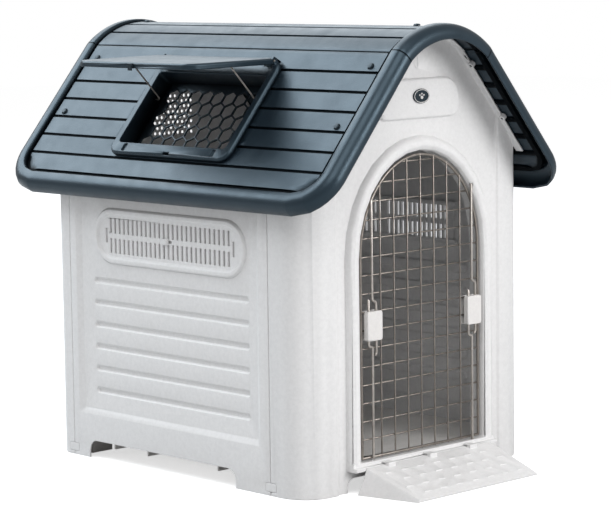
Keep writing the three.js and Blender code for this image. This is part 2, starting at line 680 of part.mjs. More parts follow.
function clipNotches(side) {
  return [[BODY_FRONT + FRONT_RETURN], [BODY_REAR - REAR_RETURN]].map(([y]) => block(
    side * BODY_HALF_WIDTH - 10, side * BODY_HALF_WIDTH + 10,
    y - CLIP_LENGTH / 2 - SEAT_GAP, y + CLIP_LENGTH / 2 + SEAT_GAP,
    CLIP_Z - CLIP_HEIGHT / 2 - SEAT_GAP, CLIP_Z + CLIP_HEIGHT / 2 + SEAT_GAP));
}

const badgeOutline = (margin) => Array.from({ length: 20 }, (_, i) => {
  const turn = (i / 20) * 2 * Math.PI;
  return [(BADGE_HALF_WIDTH + margin) * Math.cos(turn),
    BADGE_Z + (BADGE_HALF_HEIGHT + margin) * Math.sin(turn)];
});

// the plate's outline on the gable, inset from its edges, in (x, z)
const plateOutline = (inset) => roundedRectangle(-PLATE_HALF_WIDTH + inset, PLATE_HALF_WIDTH - inset,
  BADGE_Z - PLATE_BELOW + inset, BADGE_Z + PLATE_ABOVE - inset,
  [PLATE_CORNER, PLATE_CORNER, PLATE_TOP_CORNER, PLATE_TOP_CORNER].map((radius) => radius - inset), 4);

function frontWall() {
  const plan = gablePlan(BODY_FRONT, FRONT_RETURN, FRONT_CORNER_RADIUS, -1, COLUMN_STEP);
  const shell = alongZ(plan, 0, OVERALL_HEIGHT);
  const apron = alongY(roundedRectangle(-APRON_HALF_WIDTH, APRON_HALF_WIDTH, -40, APRON_BOTTOM,
    [0, 0, 12, 12], 3), BODY_FRONT - 5, FIELD_Y + 10);
  const opening = alongY(archPoints(0, SILL_TOP - WALL), BODY_FRONT - 30, SOFFIT_BACK + 5);
  const plateRing = (inset, y) => plateOutline(inset).map(([x, z]) => at(x, y, z));
  const plate = solid(loft([plateRing(0, FIELD_Y + 1), plateRing(0, FIELD_Y - PLATE_PROUD + PLATE_BEVEL),
    plateRing(PLATE_BEVEL, FIELD_Y - PLATE_PROUD)]));
  const plateHollow = alongY(plateOutline(PLATE_BEVEL + WALL),
    FIELD_Y - PLATE_PROUD + WALL, FIELD_Y + WALL + 1);
  const seats = screwSeats(-1);
  const trimmed = cut(shell.add(plate), plateHollow, apron, opening).intersect(
    alongY(underRoof(SEAT_GAP), BODY_FRONT - 80, 0));
  const flange = gableFlange(FRONT_FLANGE_TIP, FIELD_Y + WALL);
  const whole = join(trimmed, flange, archMoulding(), sill(), seats.bosses);
  return cut(whole, seats.holes, hookSlots(), rodSockets(), clipNotches(-1), clipNotches(1));
}
place('front_wall', frontWall(), WHITE);

// the long sunk ribs of a wall, and the bulges they make on its inner face; put takes a
// position along the wall, a height and a depth behind its outer face
function ribGrooves(middle, put) {
  const heights = Array.from({ length: RIB_COUNT }, (_, i) => RIB_LOWEST + i * RIB_PITCH);
  const ring = (z, grow, depth) => oblong(middle, z, RIB_HALF_LENGTH + grow, RIB_HEIGHT / 2 + grow, 2)
    .map(([a, b]) => put(a, b, depth));
  return {
    grooves: heights.map((z) => solid(loft([ring(z, 0, -0.01), ring(z, -2, RIB_SUNK)]))),
    backs: heights.map((z) => solid(loft([ring(z, WALL, WALL - 0.5), ring(z, WALL - 2, WALL + RIB_SUNK)]))),
  };
}

function rearVentHoles() {
  const holes = [];
  for (let row = 0; row < REAR_VENT_ROWS; row += 1) {
    const shift = (row % 2) / 2;
    const count = REAR_VENT_COLUMNS - (row % 2);
    for (let column = 0; column < count; column += 1) {
      const x = (column + shift - (REAR_VENT_COLUMNS - 1) / 2) * REAR_VENT_PITCH;
      const z = REAR_VENT_BOTTOM + row * REAR_VENT_PITCH * 0.87;
      holes.push(roundBar(REAR_VENT_HOLE, 20, 6).translate(x, BODY_REAR, z));
    }
  }
  return apart(holes);
}

function rearWall() {
  const plan = gablePlan(BODY_REAR, REAR_RETURN, REAR_CORNER_RADIUS, 1, 0);
  const shell = alongZ(plan, 0, OVERALL_HEIGHT);
  const seats = screwSeats(1);
  const trimmed = shell.intersect(alongY(underRoof(SEAT_GAP), 0, BODY_REAR + 80));
  const apron = alongY(roundedRectangle(-APRON_HALF_WIDTH, APRON_HALF_WIDTH, -40, SKIRT_BOTTOM,
    [0, 0, FOOT_FILLET, FOOT_FILLET], 3), BODY_REAR - 10, BODY_REAR + 10);
  const sunk = ribGrooves(0, (a, z, depth) => at(a, BODY_REAR - depth, z));
  const whole = join(trimmed, gableFlange(BODY_REAR - WALL, REAR_FLANGE_TIP), seats.bosses, sunk.backs);
  return cut(whole, sunk.grooves, rearVentHoles(), seats.holes, apron, clipNotches(-1), clipNotches(1));
}
place('rear_wall', rearWall(), WHITE);

place('badge', alongY(badgeOutline(0), BADGE_BACK - BADGE_THICKNESS, BADGE_BACK), DARK);

// ---------------------------------------------------------------- side walls and shutters

// vent slots in (y, z), as half-sizes round their centres
function slotPlaces() {
  const first = VENT_Y - ((SLOT_COUNT - 1) / 2) * SLOT_PITCH;
  const columns = Array.from({ length: SLOT_COUNT }, (_, i) => first + i * SLOT_PITCH);
  const rows = columns.flatMap((y) => [[y, VENT_Z - SLOT_ROW_OFFSET], [y, VENT_Z + SLOT_ROW_OFFSET]]);
  const ends = [first - SLOT_PITCH, first + SLOT_COUNT * SLOT_PITCH].map((y) => [y, VENT_Z]);
  return { rows, ends, columns };
}

const fieldX = BODY_HALF_WIDTH - FIELD_DEPTH; // face of the recessed field
const fieldInner = fieldX - WALL;

// the right-hand wall; the left one is its mirror image
function sideWall() {
  const y0 = SIDE_FRONT_END;
  const y1 = SIDE_REAR_END;
  const top = OVERALL_HEIGHT;
  const panel = block(fieldX, BODY_HALF_WIDTH, y0, y1, 0, top);
  const field = (inset, x) => roundedRectangle(FIELD_FRONT + inset, FIELD_REAR - inset, FIELD_BOTTOM + inset,
    top + 50, 3, 2).map(([y, z]) => at(x, y, z));
  const sunk = solid(loft([field(0, BODY_HALF_WIDTH + 0.01), field(FIELD_BEVEL, fieldX)]));
  const sheet = block(fieldInner, fieldX + 0.5, FIELD_FRONT - WALL, FIELD_REAR + WALL,
    FIELD_BOTTOM - WALL, top);
  const margins = [block(fieldX - 1, BODY_HALF_WIDTH - WALL, y0 + WALL, FIELD_FRONT - WALL, -1, top),
    block(fieldX - 1, BODY_HALF_WIDTH - WALL, FIELD_REAR + WALL, y1 - WALL, -1, top),
    block(fieldX - 1, BODY_HALF_WIDTH - WALL, y0 + WALL, y1 - WALL, -1, FIELD_BOTTOM - WALL)];
  const footCut = alongX(roundedRectangle(y0 + FOOT_LENGTH, y1 - FOOT_LENGTH / 2, -40, SKIRT_BOTTOM,
    [0, 0, FOOT_FILLET, FOOT_FILLET], 4), fieldInner - 5, BODY_HALF_WIDTH + 5);
  const sunkRibs = ribGrooves(VENT_Y, (y, z, depth) => at(fieldX - depth, y, z));
  const ring = (inset, x) => oblong(VENT_Y, VENT_Z, VENT_HALF_LENGTH - inset, VENT_HALF_HEIGHT - inset, 6)
    .map(([y, z]) => at(x, y, z));
  const collar = solid(loft([ring(0, fieldX - 1), ring(0, fieldX + 1), ring(3, fieldX + VENT_PROUD)]));
  const bowl = solid(loft([ring(VENT_RING - 3, fieldX + VENT_PROUD + 0.01), ring(VENT_RING, fieldX)]));
  const lapX = BODY_HALF_WIDTH - WALL - SEAT_GAP;
  const laps = [block(lapX - WALL, lapX, y0 - WALL_LAP, y0 + WALL + 1, 0, top),
    block(lapX - WALL, lapX, y1 - WALL - 1, y1 + WALL_LAP, 0, top)];
  const railX = fieldInner - SHUTTER_THICKNESS - 2 * SEAT_GAP;
  const rails = [-1, 1].map((sign) => {
    const z = (height) => VENT_Z + sign * height;
    const outer = [[fieldInner + 0.5, z(SHUTTER_HALF_HEIGHT + SEAT_GAP)],
      [fieldInner + 0.5, z(SHUTTER_HALF_HEIGHT + 4)],
      [railX - 2, z(SHUTTER_HALF_HEIGHT + 4)], [railX - 2, z(SHUTTER_HALF_HEIGHT - SHUTTER_RAIL)],
      [railX, z(SHUTTER_HALF_HEIGHT - SHUTTER_RAIL)], [railX, z(SHUTTER_HALF_HEIGHT + SEAT_GAP)]];
    const reach = SHUTTER_HALF_LENGTH + SHUTTER_TRAVEL;
    const points = sign > 0 ? outer : outer.reverse();
    return alongY(points, VENT_Y - reach, VENT_Y + reach);
  });
  const { rows, ends } = slotPlaces();
  const slots = apart([...rows, ...ends].map(([y, z]) => blockGeometry(railX - 5, BODY_HALF_WIDTH + 5,
    y - SLOT_WIDTH / 2, y + SLOT_WIDTH / 2, z - SLOT_HEIGHT / 2, z + SLOT_HEIGHT / 2)));
  const stemSlot = block(railX - 5, BODY_HALF_WIDTH + 5,
    VENT_Y - KNOB_STEM / 2 - SHUTTER_TRAVEL - 0.7, VENT_Y + KNOB_STEM / 2 + SHUTTER_TRAVEL + 0.7,
    VENT_Z - KNOB_STEM / 2 - 0.4, VENT_Z + KNOB_STEM / 2 + 0.4);
  const dressed = join(cut(panel.add(sheet), sunk), sunkRibs.backs, collar);
  const shell = cut(dressed, margins, bowl, sunkRibs.grooves).add(join(laps)).add(join(rails));
  const under = alongY(underRoof(SEAT_GAP), y0 - 50, y1 + 50);
  return cut(shell.intersect(under), footCut, slots, stemSlot, clipNotches(1));
}

const mirrorX = (body) => body.mirror([1, 0, 0]);
const rightWall = sideWall();
place('right_wall', rightWall, WHITE);
place('left_wall', mirrorX(rightWall), WHITE);

// a shutter whose slots stand in line with the wall's when shift is 0
function shutter(shift) {
  const x1 = fieldInner - SEAT_GAP;
  const x0 = x1 - SHUTTER_THICKNESS;
  const plate = alongX(roundedRectangle(VENT_Y - SHUTTER_HALF_LENGTH, VENT_Y + SHUTTER_HALF_LENGTH,
    VENT_Z - SHUTTER_HALF_HEIGHT, VENT_Z + SHUTTER_HALF_HEIGHT, 4, 2), x0, x1);
  const { columns } = slotPlaces();
  const tall = SLOT_ROW_OFFSET + SLOT_HEIGHT / 2;
  const clearOfStem = columns.filter((y) => Math.abs(y - VENT_Y) > SLOT_PITCH / 2);
  const slots = apart(clearOfStem.map((y) => blockGeometry(x0 - 5, x1 + 5,
    y - SLOT_WIDTH / 2, y + SLOT_WIDTH / 2, VENT_Z - tall, VENT_Z + tall)));
  const stem = alongX(oblong(VENT_Y, VENT_Z, KNOB_STEM / 2, KNOB_STEM / 2 - 0.2, 2), x0, fieldX + 2.5);
  const knobX = fieldX + SEAT_GAP;
  const knob = (inset, x) => oblong(VENT_Y, VENT_Z, KNOB_HALF_WIDTH - inset, KNOB_HALF_HEIGHT - inset, 4)
    .map(([y, z]) => at(x, y, z));
  const button = solid(loft([knob(0, knobX), knob(0, knobX + 2.5), knob(1.5, knobX + 4)]));
  return join(cut(plate, slots), stem, button).translate(0, shift, 0);
}
place('vent_shutter_right', shutter(0), WHITE);
place('vent_shutter_left', mirrorX(shutter(SHUTTER_TRAVEL)), WHITE);

// small locking clips where the side walls meet the gable walls
[['left', -1], ['right', 1]].forEach(([sideName, side]) => {
  const limits = [side * BODY_HALF_WIDTH, side * (BODY_HALF_WIDTH - 2 * WALL - 1)].sort((a, b) => a - b);
  [['front', BODY_FRONT + FRONT_RETURN], ['rear', BODY_REAR - REAR_RETURN]].forEach(([endName, y]) => {
    place(`clip_${endName}_${sideName}`, block(...limits, y - CLIP_LENGTH / 2, y + CLIP_LENGTH / 2,
      CLIP_Z - CLIP_HEIGHT / 2, CLIP_Z + CLIP_HEIGHT / 2), FLOOR_GREY);
  });
});

// ---------------------------------------------------------------- floor

function floorBase() {
  const halfWidth = fieldInner - FIT_GAP - WALL;
  const front = FIELD_Y + WALL + FIT_GAP;
  const rear = BODY_REAR - WALL - FIT_GAP;
  const under = FLOOR_TOP - FLOOR_THICKNESS;
  const corner = FRONT_CORNER_RADIUS - 8;
  const plate = alongZ(roundedRectangle(-halfWidth, halfWidth, front, rear,
    [corner, corner, REAR_CORNER_RADIUS, REAR_CORNER_RADIUS], 4), under, FLOOR_TOP);
  const ribTop = under + 1;
  const ribBottom = under - FLOOR_RIB_DEPTH;
  const ribEnd = FLOOR_LEG_INSET + 4;
  const lengthwise = FLOOR_RIB_PLACES.map((x) => block(
    x - FLOOR_RIB / 2, x + FLOOR_RIB / 2, front + ribEnd, rear - ribEnd, ribBottom, ribTop));
  const across = FLOOR_RIB_PLACES.map((y) => block(
    -halfWidth + 10, halfWidth - 10, y - FLOOR_RIB / 2, y + FLOOR_RIB / 2, ribBottom, ribTop));
  const ribs = [...lengthwise, ...across];
  const x = halfWidth - FLOOR_LEG_INSET;
  const legPlaces = [[-x, front + FLOOR_LEG_INSET + 12], [x, front + FLOOR_LEG_INSET + 12],
    [-x, rear - FLOOR_LEG_INSET], [x, rear - FLOOR_LEG_INSET], [0, 0]];
  const legs = legPlaces.map(([cx, cy]) => block(cx - FLOOR_LEG / 2, cx + FLOOR_LEG / 2,
    cy - FLOOR_LEG / 2, cy + FLOOR_LEG / 2, 0, ribTop));
  const sillHalf = ARCH_HALF_WIDTH + MOULDING_WIDTH + FIT_GAP;
  const sillRoom = block(-sillHalf, sillHalf,
    BODY_FRONT - 50, SOFFIT_BACK + FIT_GAP, -1, SILL_TOP);
  return cut(join(plate, ribs, legs), sillRoom);
}
place('floor_base', floorBase(), FLOOR_GREY);

// ---------------------------------------------------------------- skylight

const skyOutline = (inset) => roundedRectangle(SKY_TOP + inset, SKY_BOTTOM - inset,
  -SKY_HALF_WIDTH + inset, SKY_HALF_WIDTH - inset, Math.max(SKY_CORNER - inset, 2), 4);
const hingeEars = [-1, 1].map(
  (sign) => [sign * (HINGE_EAR_OFFSET - HINGE_EAR), sign * HINGE_EAR_OFFSET].sort((a, b) => a - b));
const CATCH_U = LID_HINGE_DROP + LID_LENGTH + 2.5;

function skylightFrame() {
  const levels = [[0, SEAT_GAP], [0, SKY_RISE - 3], [3, SKY_RISE]];
  const flange = solid(loft(levels.map(([inset, w]) => skyOutline(inset)
    .map(([u, v]) => at(u, v, w)))));
  const collar = alongZ(skyHole(SKY_COLLAR), -SKY_COLLAR_DEPTH, SKY_RISE - 1);
  const opening = alongZ(skyHole(0), -SKY_COLLAR_DEPTH - 1, SKY_RISE + 1);
  const ears = hingeEars.map(([v0, v1]) => block(
    LID_HINGE_DROP - 5, LID_HINGE_DROP + 5, v0, v1, 2, LID_HINGE_HEIGHT + 4));
  const pinHoles = hingeEars.map(([v0, v1]) => solid(roundBar(HINGE_PIN_RADIUS + 0.1, v1 - v0 + 4, 10)
    .translate(LID_HINGE_DROP, (v0 + v1) / 2, LID_HINGE_HEIGHT)));
  const notches = [-1, 1].map((sign) => block(
    SKY_BOTTOM - SKY_NOTCH_END - SKY_NOTCH_LENGTH, SKY_BOTTOM - SKY_NOTCH_END,
    sign * SKY_NOTCH_OFFSET - SKY_NOTCH_HALF, sign * SKY_NOTCH_OFFSET + SKY_NOTCH_HALF,
    SKY_RISE - 3, SKY_RISE + 1));
  const keeper = block(CATCH_U - 2.2, CATCH_U + 2.2, -CATCH_WIDTH / 2 - 1, CATCH_WIDTH / 2 + 1,
    2, SKY_RISE + 1);
  const stayHoles = [-1, 1].map((sign) => solid(roundBar(STAY_RADIUS + 0.4, 14, 8)
    .translate(STAY_PIVOT_DROP, sign * (SKY_OPENING_HALF_WIDTH + 2), -STAY_PIVOT_DEPTH)));
  const knuckleOuter = HINGE_EAR_OFFSET - HINGE_EAR;
  const knuckleInner = knuckleOuter - HINGE_KNUCKLE_LENGTH - 1;
  const knuckleRoom = [-1, 1].map((sign) => block(LID_HINGE_DROP - 7, LID_HINGE_DROP + 7,
    Math.min(sign * knuckleOuter, sign * knuckleInner),
    Math.max(sign * knuckleOuter, sign * knuckleInner),
    LID_HINGE_HEIGHT - HINGE_KNUCKLE_RADIUS - 1.5, SKY_RISE + 20));
  return cut(join(flange, collar, ears), opening, pinHoles, notches, keeper, stayHoles,
    knuckleRoom.map((room) => room.intersect(block(0, 400, -200, 200, SKY_RISE - 2.5, 40))));
}
place('skylight_frame', skylightFrame(), ROOF_BLUE, skySlope);

// a plate of six-sided cells under the opening
function skylightGrille() {
  const top = -SKY_COLLAR_DEPTH - SEAT_GAP;
  const plate = alongZ(skyHole(GRILLE_LIP), top - GRILLE_THICKNESS, top);
  const cells = [];
  const radius = (HEX_PITCH - HEX_BAR) / Math.sqrt(3);
  const rowPitch = (HEX_PITCH * Math.sqrt(3)) / 2;
  const middle = SKY_OPENING_TOP + SKY_OPENING_LENGTH / 2;
  const rows = Math.floor(SKY_OPENING_LENGTH / 2 / rowPitch);
  const columns = Math.floor(SKY_OPENING_HALF_WIDTH / HEX_PITCH);
  for (let row = -rows; row <= rows; row += 1) {
    const odd = Math.abs(row) % 2;
    for (let column = -columns; column <= columns - odd; column += 1) {
      const u = middle + row * rowPitch;
      const v = (column + odd / 2) * HEX_PITCH;
      const inside = Math.abs(u - middle) < SKY_OPENING_LENGTH / 2 - radius * 0.8
        && Math.abs(v) < SKY_OPENING_HALF_WIDTH - radius * 0.6;
      if (inside) {
        cells.push(roundBar(radius, 20, 6).rotateX(Math.PI / 2).rotateZ(Math.PI / 2).translate(u, v, top));
      }
    }
  }
  return cut(plate, apart(cells));
}
place('skylight_grille', skylightGrille(), ROOF_BLUE, skySlope);

// the lid's own frame: s along the lid from its hinge, v across, t out of the lid
const lidFrame = new THREE.Group();
lidFrame.position.set(LID_HINGE_DROP, 0, LID_HINGE_HEIGHT);
lidFrame.rotation.y = -LID_OPEN;
skySlope.add(lidFrame);

const LID_BASE = SKY_RISE + 2 * SEAT_GAP - LID_HINGE_HEIGHT; // its rim, when it lies on the frame
const LID_TOP = LID_BASE + LID_RIM;
const LID_START = HINGE_KNUCKLE_RADIUS + 1.3;

function skylightLid() {
  const outline = (inset) => roundedRectangle(LID_START + inset, LID_LENGTH - inset,
    -LID_HALF_WIDTH + inset, LID_HALF_WIDTH - inset,
    [4 - Math.min(inset, 2), LID_CORNER - inset, LID_CORNER - inset, 4 - Math.min(inset, 2)], 4);
  const levels = [[0, LID_BASE], [0, LID_TOP - 2.5], [2.5, LID_TOP]];
  const outer = solid(loft(levels.map(([inset, t]) => outline(inset)
    .map(([s, v]) => at(s, v, t)))));
  const hollow = alongZ(outline(LID_WALL), LID_BASE - 1, LID_TOP - LID_WALL);
  const knuckles = hingeEars.map(([v0, v1]) => {
    const sign = Math.sign(v0);
    const inner = sign > 0 ? v0 - 0.5 - HINGE_KNUCKLE_LENGTH / 2 : v1 + 0.5 + HINGE_KNUCKLE_LENGTH / 2;
    const barrel = solid(roundBar(HINGE_KNUCKLE_RADIUS, HINGE_KNUCKLE_LENGTH, 12).translate(0, inner, 0));
    const web = block(0, LID_START + 3, inner - HINGE_KNUCKLE_LENGTH / 2, inner + HINGE_KNUCKLE_LENGTH / 2,
      HINGE_KNUCKLE_RADIUS - 3.2, HINGE_KNUCKLE_RADIUS - 0.4);
    return barrel.add(web);
  });
  const pinRoom = hingeEars.map(([v0, v1]) => solid(roundBar(HINGE_PIN_RADIUS + 0.15, 80, 10)
    .translate(0, (v0 + v1) / 2, 0)));
  const earRoom = hingeEars.map(([v0, v1]) => block(-8, 7.5, v0 - 0.6, v1 + 0.6, -20, 20));
  const trackPlaces = [STAY_OFFSET + STAY_RADIUS + 1, STAY_OFFSET - STAY_LEG - 2.5];
  const tracks = [-1, 1].flatMap((sign) => trackPlaces.map((v) => {
    const limits = [sign * v, sign * (v + 1.5)].sort((a, b) => a - b);
    return block(STAY_ON_LID - 8, STAY_ON_LID + STAY_TRACK, ...limits, LID_BASE, LID_TOP - 2);
  }));
  const catchRoom = block(LID_LENGTH - LID_WALL - 1, LID_LENGTH + 1, -CATCH_WIDTH / 2 - SEAT_GAP,
    CATCH_WIDTH / 2 + SEAT_GAP, LID_BASE + 2, LID_TOP - 3.2);
  return cut(join(cut(outer, hollow), knuckles, tracks), pinRoom, earRoom, catchRoom);
}
place('skylight_lid', skylightLid(), ROOF_BLUE, lidFrame);

// a clip through the lid's rim, whose tongue drops into the frame when the lid is down
function lidCatch() {
  const s = LID_LENGTH;
  const half = CATCH_WIDTH / 2;
  const plug = block(s - LID_WALL - 1.5, s + 2.2, -half, half,
    LID_BASE + 2 + SEAT_GAP, LID_TOP - 3.2 - SEAT_GAP);
  const head = block(s - LID_WALL - 3, s - LID_WALL - 0.4, -half - 1.5, half + 1.5,
    LID_BASE + 1, LID_TOP - 3.4);
  const tongue = block(s + SEAT_GAP + 1, s + SEAT_GAP + 3, -half + 2, half - 2,
    LID_BASE - CATCH_REACH, LID_TOP - 2);
  return join(plug, head, tongue);
}
place('lid_catch', lidCatch(), DARK, lidFrame);

// the left slope is turned half round, so its +v side is the front of the house
const pinLength = HINGE_EAR + HINGE_KNUCKLE_LENGTH;
hingeEars.forEach(([v0, v1]) => {
  const sign = Math.sign(v0);
  const outer = sign > 0 ? v1 : v0;
  place(sign > 0 ? 'lid_pin_front' : 'lid_pin_rear', roundBar(HINGE_PIN_RADIUS, pinLength, 10)
    .translate(LID_HINGE_DROP, outer - sign * (pinLength / 2), LID_HINGE_HEIGHT), STEEL, skySlope);
});

// the wire stays: a leg in the frame, an arm, and a leg under the lid
function stay(sign) {
  const lidS = STAY_ON_LID;
  const under = LID_TOP - LID_WALL - STAY_RADIUS - 2 * SEAT_GAP;
  const u = LID_HINGE_DROP + lidS * Math.cos(LID_OPEN) - under * Math.sin(LID_OPEN);
  const w = LID_HINGE_HEIGHT + lidS * Math.sin(LID_OPEN) + under * Math.cos(LID_OPEN);
  const foot = at(STAY_PIVOT_DROP, 0, -STAY_PIVOT_DEPTH);
  const head = at(u, 0, w);
  const v = (distance) => at(0, sign * distance, 0);
  const arm = head.clone().sub(foot).normalize();
  const points = [
    foot.clone().add(v(SKY_OPENING_HALF_WIDTH + SKY_COLLAR - 0.2)),
    foot.clone().add(v(STAY_OFFSET + 3)),
    foot.clone().add(v(STAY_OFFSET)).add(arm.clone().multiplyScalar(3)),
    head.clone().add(v(STAY_OFFSET)).sub(arm.clone().multiplyScalar(3)),
    head.clone().add(v(STAY_OFFSET - 3)),
    head.clone().add(v(STAY_OFFSET - STAY_LEG)),
  ];
  return solid(wire(points, STAY_RADIUS, 6));
}
place('stay_front', stay(1), STEEL, skySlope);
place('stay_rear', stay(-1), STEEL, skySlope);

// ---------------------------------------------------------------- wire door

const doorFrame = new THREE.Group();
group.add(doorFrame);
const EDGE_OFFSET = -DOOR_GAP - DOOR_EDGE_RADIUS;
const DOOR_BOTTOM = SILL_TOP + DOOR_GAP + DOOR_EDGE_RADIUS - 2;
const edgeHalfWidth = ARCH_HALF_WIDTH + EDGE_OFFSET;
const edgeRise = ARCH_RISE + EDGE_OFFSET;
const edgeTop = (x) => ARCH_SPRING + edgeRise * Math.sqrt(Math.max(0, 1 - (x / edgeHalfWidth) ** 2));
const edgeSide = (z) => (z <= ARCH_SPRING ? edgeHalfWidth
  : edgeHalfWidth * Math.sqrt(Math.max(0, 1 - ((z - ARCH_SPRING) / edgeRise) ** 2)));

function doorMesh() {
  const arch = archPoints(EDGE_OFFSET, DOOR_BOTTOM, 16).map(([x, z]) => at(x, GRID_Y, z));
  const edge = solid(wire(arch, DOOR_EDGE_RADIUS * 1.2, 4));
  const foot = solid(wire([at(-edgeHalfWidth, GRID_Y, DOOR_BOTTOM), at(edgeHalfWidth, GRID_Y, DOOR_BOTTOM)],
    DOOR_EDGE_RADIUS * 1.2, 4));
  const half = GRID_WIRE / 2;
  const uprights = Array.from({ length: GRID_COLUMNS }, (_, i) => {
    const x = (i - (GRID_COLUMNS - 1) / 2) * GRID_PITCH_X;
    return block(x - half, x + half, GRID_Y - half, GRID_Y + half, DOOR_BOTTOM, edgeTop(x));
  });
  const rungs = [];
  for (let z = DOOR_BOTTOM + GRID_PITCH_Z; edgeSide(z) > GRID_PITCH_X * 0.9; z += GRID_PITCH_Z) {
    const x = edgeSide(z) - 0.5;
    rungs.push(block(-x, x, GRID_Y - half, GRID_Y + half, z - half, z + half));
    if (z + GRID_PITCH_Z >= ARCH_SPRING + edgeRise) break;
  }
  return join(edge, foot, uprights, rungs, rodGuides(rungs.length));
}

// small wire loops that hold the rods against the door
function rodGuides(rungCount) {
  const loops = [];
  const rows = [1, Math.round((GRIP_Z - DOOR_BOTTOM) / GRID_PITCH_Z) + 4];
  rows.filter((row) => row < rungCount).forEach((row) => [-ROD_X, ROD_X].forEach((x) => {
    const z = DOOR_BOTTOM + row * GRID_PITCH_Z + 1.4;
    const reach = ROD_RADIUS + 1.7;
    const back = GRID_Y + 1;
    const front = ROD_Y - ROD_RADIUS - 1.2;
    loops.push(solid(wire([
      at(x - reach, back, z), at(x - reach, front + 1, z), at(x - reach + 1.4, front, z),
      at(x + reach - 1.4, front, z), at(x + reach, front + 1, z), at(x + reach, back, z)], 0.9, 5)));
  }));
  return loops;
}
place('door_mesh', doorMesh(), STEEL, doorFrame);

const GRIP_TOP = GRIP_Z + GRIP_HEIGHT / 2;
const GRIP_LOW = GRIP_Z - GRIP_HEIGHT / 2;
const COLLAR_RADIUS = 3.2;
const COLLAR_THICKNESS = 2;
const upperLeg = (x) => x + ROD_JOG;
const lowerLeg = (x) => x - ROD_JOG;
const UPPER_COLLAR = GRIP_TOP - GRIP_WALL - 3; // top of the collar while the rod is out
const LOWER_COLLAR = GRIP_LOW + GRIP_WALL + 3; // bottom of the collar while the rod is out

// the upper rod: from its socket in the arch, past a finger jog, through the grip
function upperRod(x, drawn) {
  const top = archTopAt(ROD_X) + ROD_ENGAGE;
  const leg = upperLeg(x);
  const bend = GRIP_TOP + 24;
  const end = GRIP_LOW - 10;
  const rod = solid(wire([
    at(x, ROD_Y, top), at(x, ROD_Y, bend), at(x + 2, ROD_Y, bend - 3), at(leg - 1, ROD_Y, bend - 5),
    at(leg, ROD_Y, bend - 7), at(leg, ROD_Y, end), at(leg - 2, ROD_Y, end - 3)], ROD_RADIUS, 6));
  const collar = solid(roundBar(COLLAR_RADIUS, COLLAR_THICKNESS, 8).rotateX(Math.PI / 2)
    .translate(leg, ROD_Y, UPPER_COLLAR - COLLAR_THICKNESS / 2));
  return rod.add(collar).translate(0, 0, -drawn);
}

// the lower rod: from its socket in the sill, past a finger jog, through the grip
function lowerRod(x, drawn) {
  const bottom = SILL_TOP - ROD_ENGAGE;
  const leg = lowerLeg(x);
  const bend = GRIP_LOW - 17;
  const end = GRIP_TOP + 8;
  const rod = solid(wire([
    at(x, ROD_Y, bottom), at(x, ROD_Y, bend - 3), at(x - 2, ROD_Y, bend), at(leg + 1, ROD_Y, bend + 2),
    at(leg, ROD_Y, bend + 4), at(leg, ROD_Y, end)], ROD_RADIUS, 6));
  const collar = solid(roundBar(COLLAR_RADIUS, COLLAR_THICKNESS, 8).rotateX(Math.PI / 2)
    .translate(leg, ROD_Y, LOWER_COLLAR + COLLAR_THICKNESS / 2));
  return rod.add(collar).translate(0, 0, drawn);
}

// a coil round a rod's leg, between its collar and the far end wall of the grip
function rodSpring(x, z0, z1) {
  const radius = ROD_RADIUS + SPRING_WIRE + 0.45;
  const steps = 6;
  const count = SPRING_TURNS * steps;
  const low = z0 + SPRING_WIRE + SEAT_GAP;
  const high = z1 - SPRING_WIRE - SEAT_GAP;
  const points = Array.from({ length: count + 1 }, (_, i) => {
    const turn = (i / steps) * 2 * Math.PI;
    return at(x + radius * Math.cos(turn), ROD_Y + radius * Math.sin(turn),
      low + ((high - low) * i) / count);
  });
  return solid(wire(points, SPRING_WIRE, 4));
}

// the grip in two shells that clamp the door's wires between them
function grip(x) {
  const split = GRID_Y - GRID_WIRE - 0.4;
  const half = GRIP_WIDTH / 2;
  const bodyOutline = roundedRectangle(x - half, x + half, GRIP_LOW, GRIP_TOP, 3, 2);
  const front = alongY(bodyOutline, GRIP_FRONT, split);
  const hollow = block(x - half + GRIP_WALL, x + half - GRIP_WALL, GRIP_FRONT + GRIP_WALL, split + 1,
    GRIP_LOW + GRIP_WALL, GRIP_TOP - GRIP_WALL);
  const bores = [upperLeg(x), lowerLeg(x)].map((leg) => solid(roundBar(ROD_RADIUS + 0.4, 100, 10)
    .rotateX(Math.PI / 2).translate(leg, ROD_Y, GRIP_Z)));
  const back = alongY(bodyOutline, GRID_Y + GRID_WIRE + 0.4, GRIP_BACK);
  const post = block(x - 1.8, x + 1.8, GRIP_FRONT + GRIP_WALL + 1.2, GRIP_BACK - 1, GRIP_Z - 3, GRIP_Z + 3);
  const postRoom = block(x - 1.9, x + 1.9, GRIP_FRONT + GRIP_WALL + 0.9, split + 3,
    GRIP_Z - 3.1, GRIP_Z + 3.1);
  const socket = block(x - 3.5, x + 3.5, GRIP_FRONT + GRIP_WALL - 0.5, split, GRIP_Z - 5, GRIP_Z + 5);
  return { shell: cut(join(cut(front, hollow), socket), bores, postRoom), cover: back.add(post) };
}

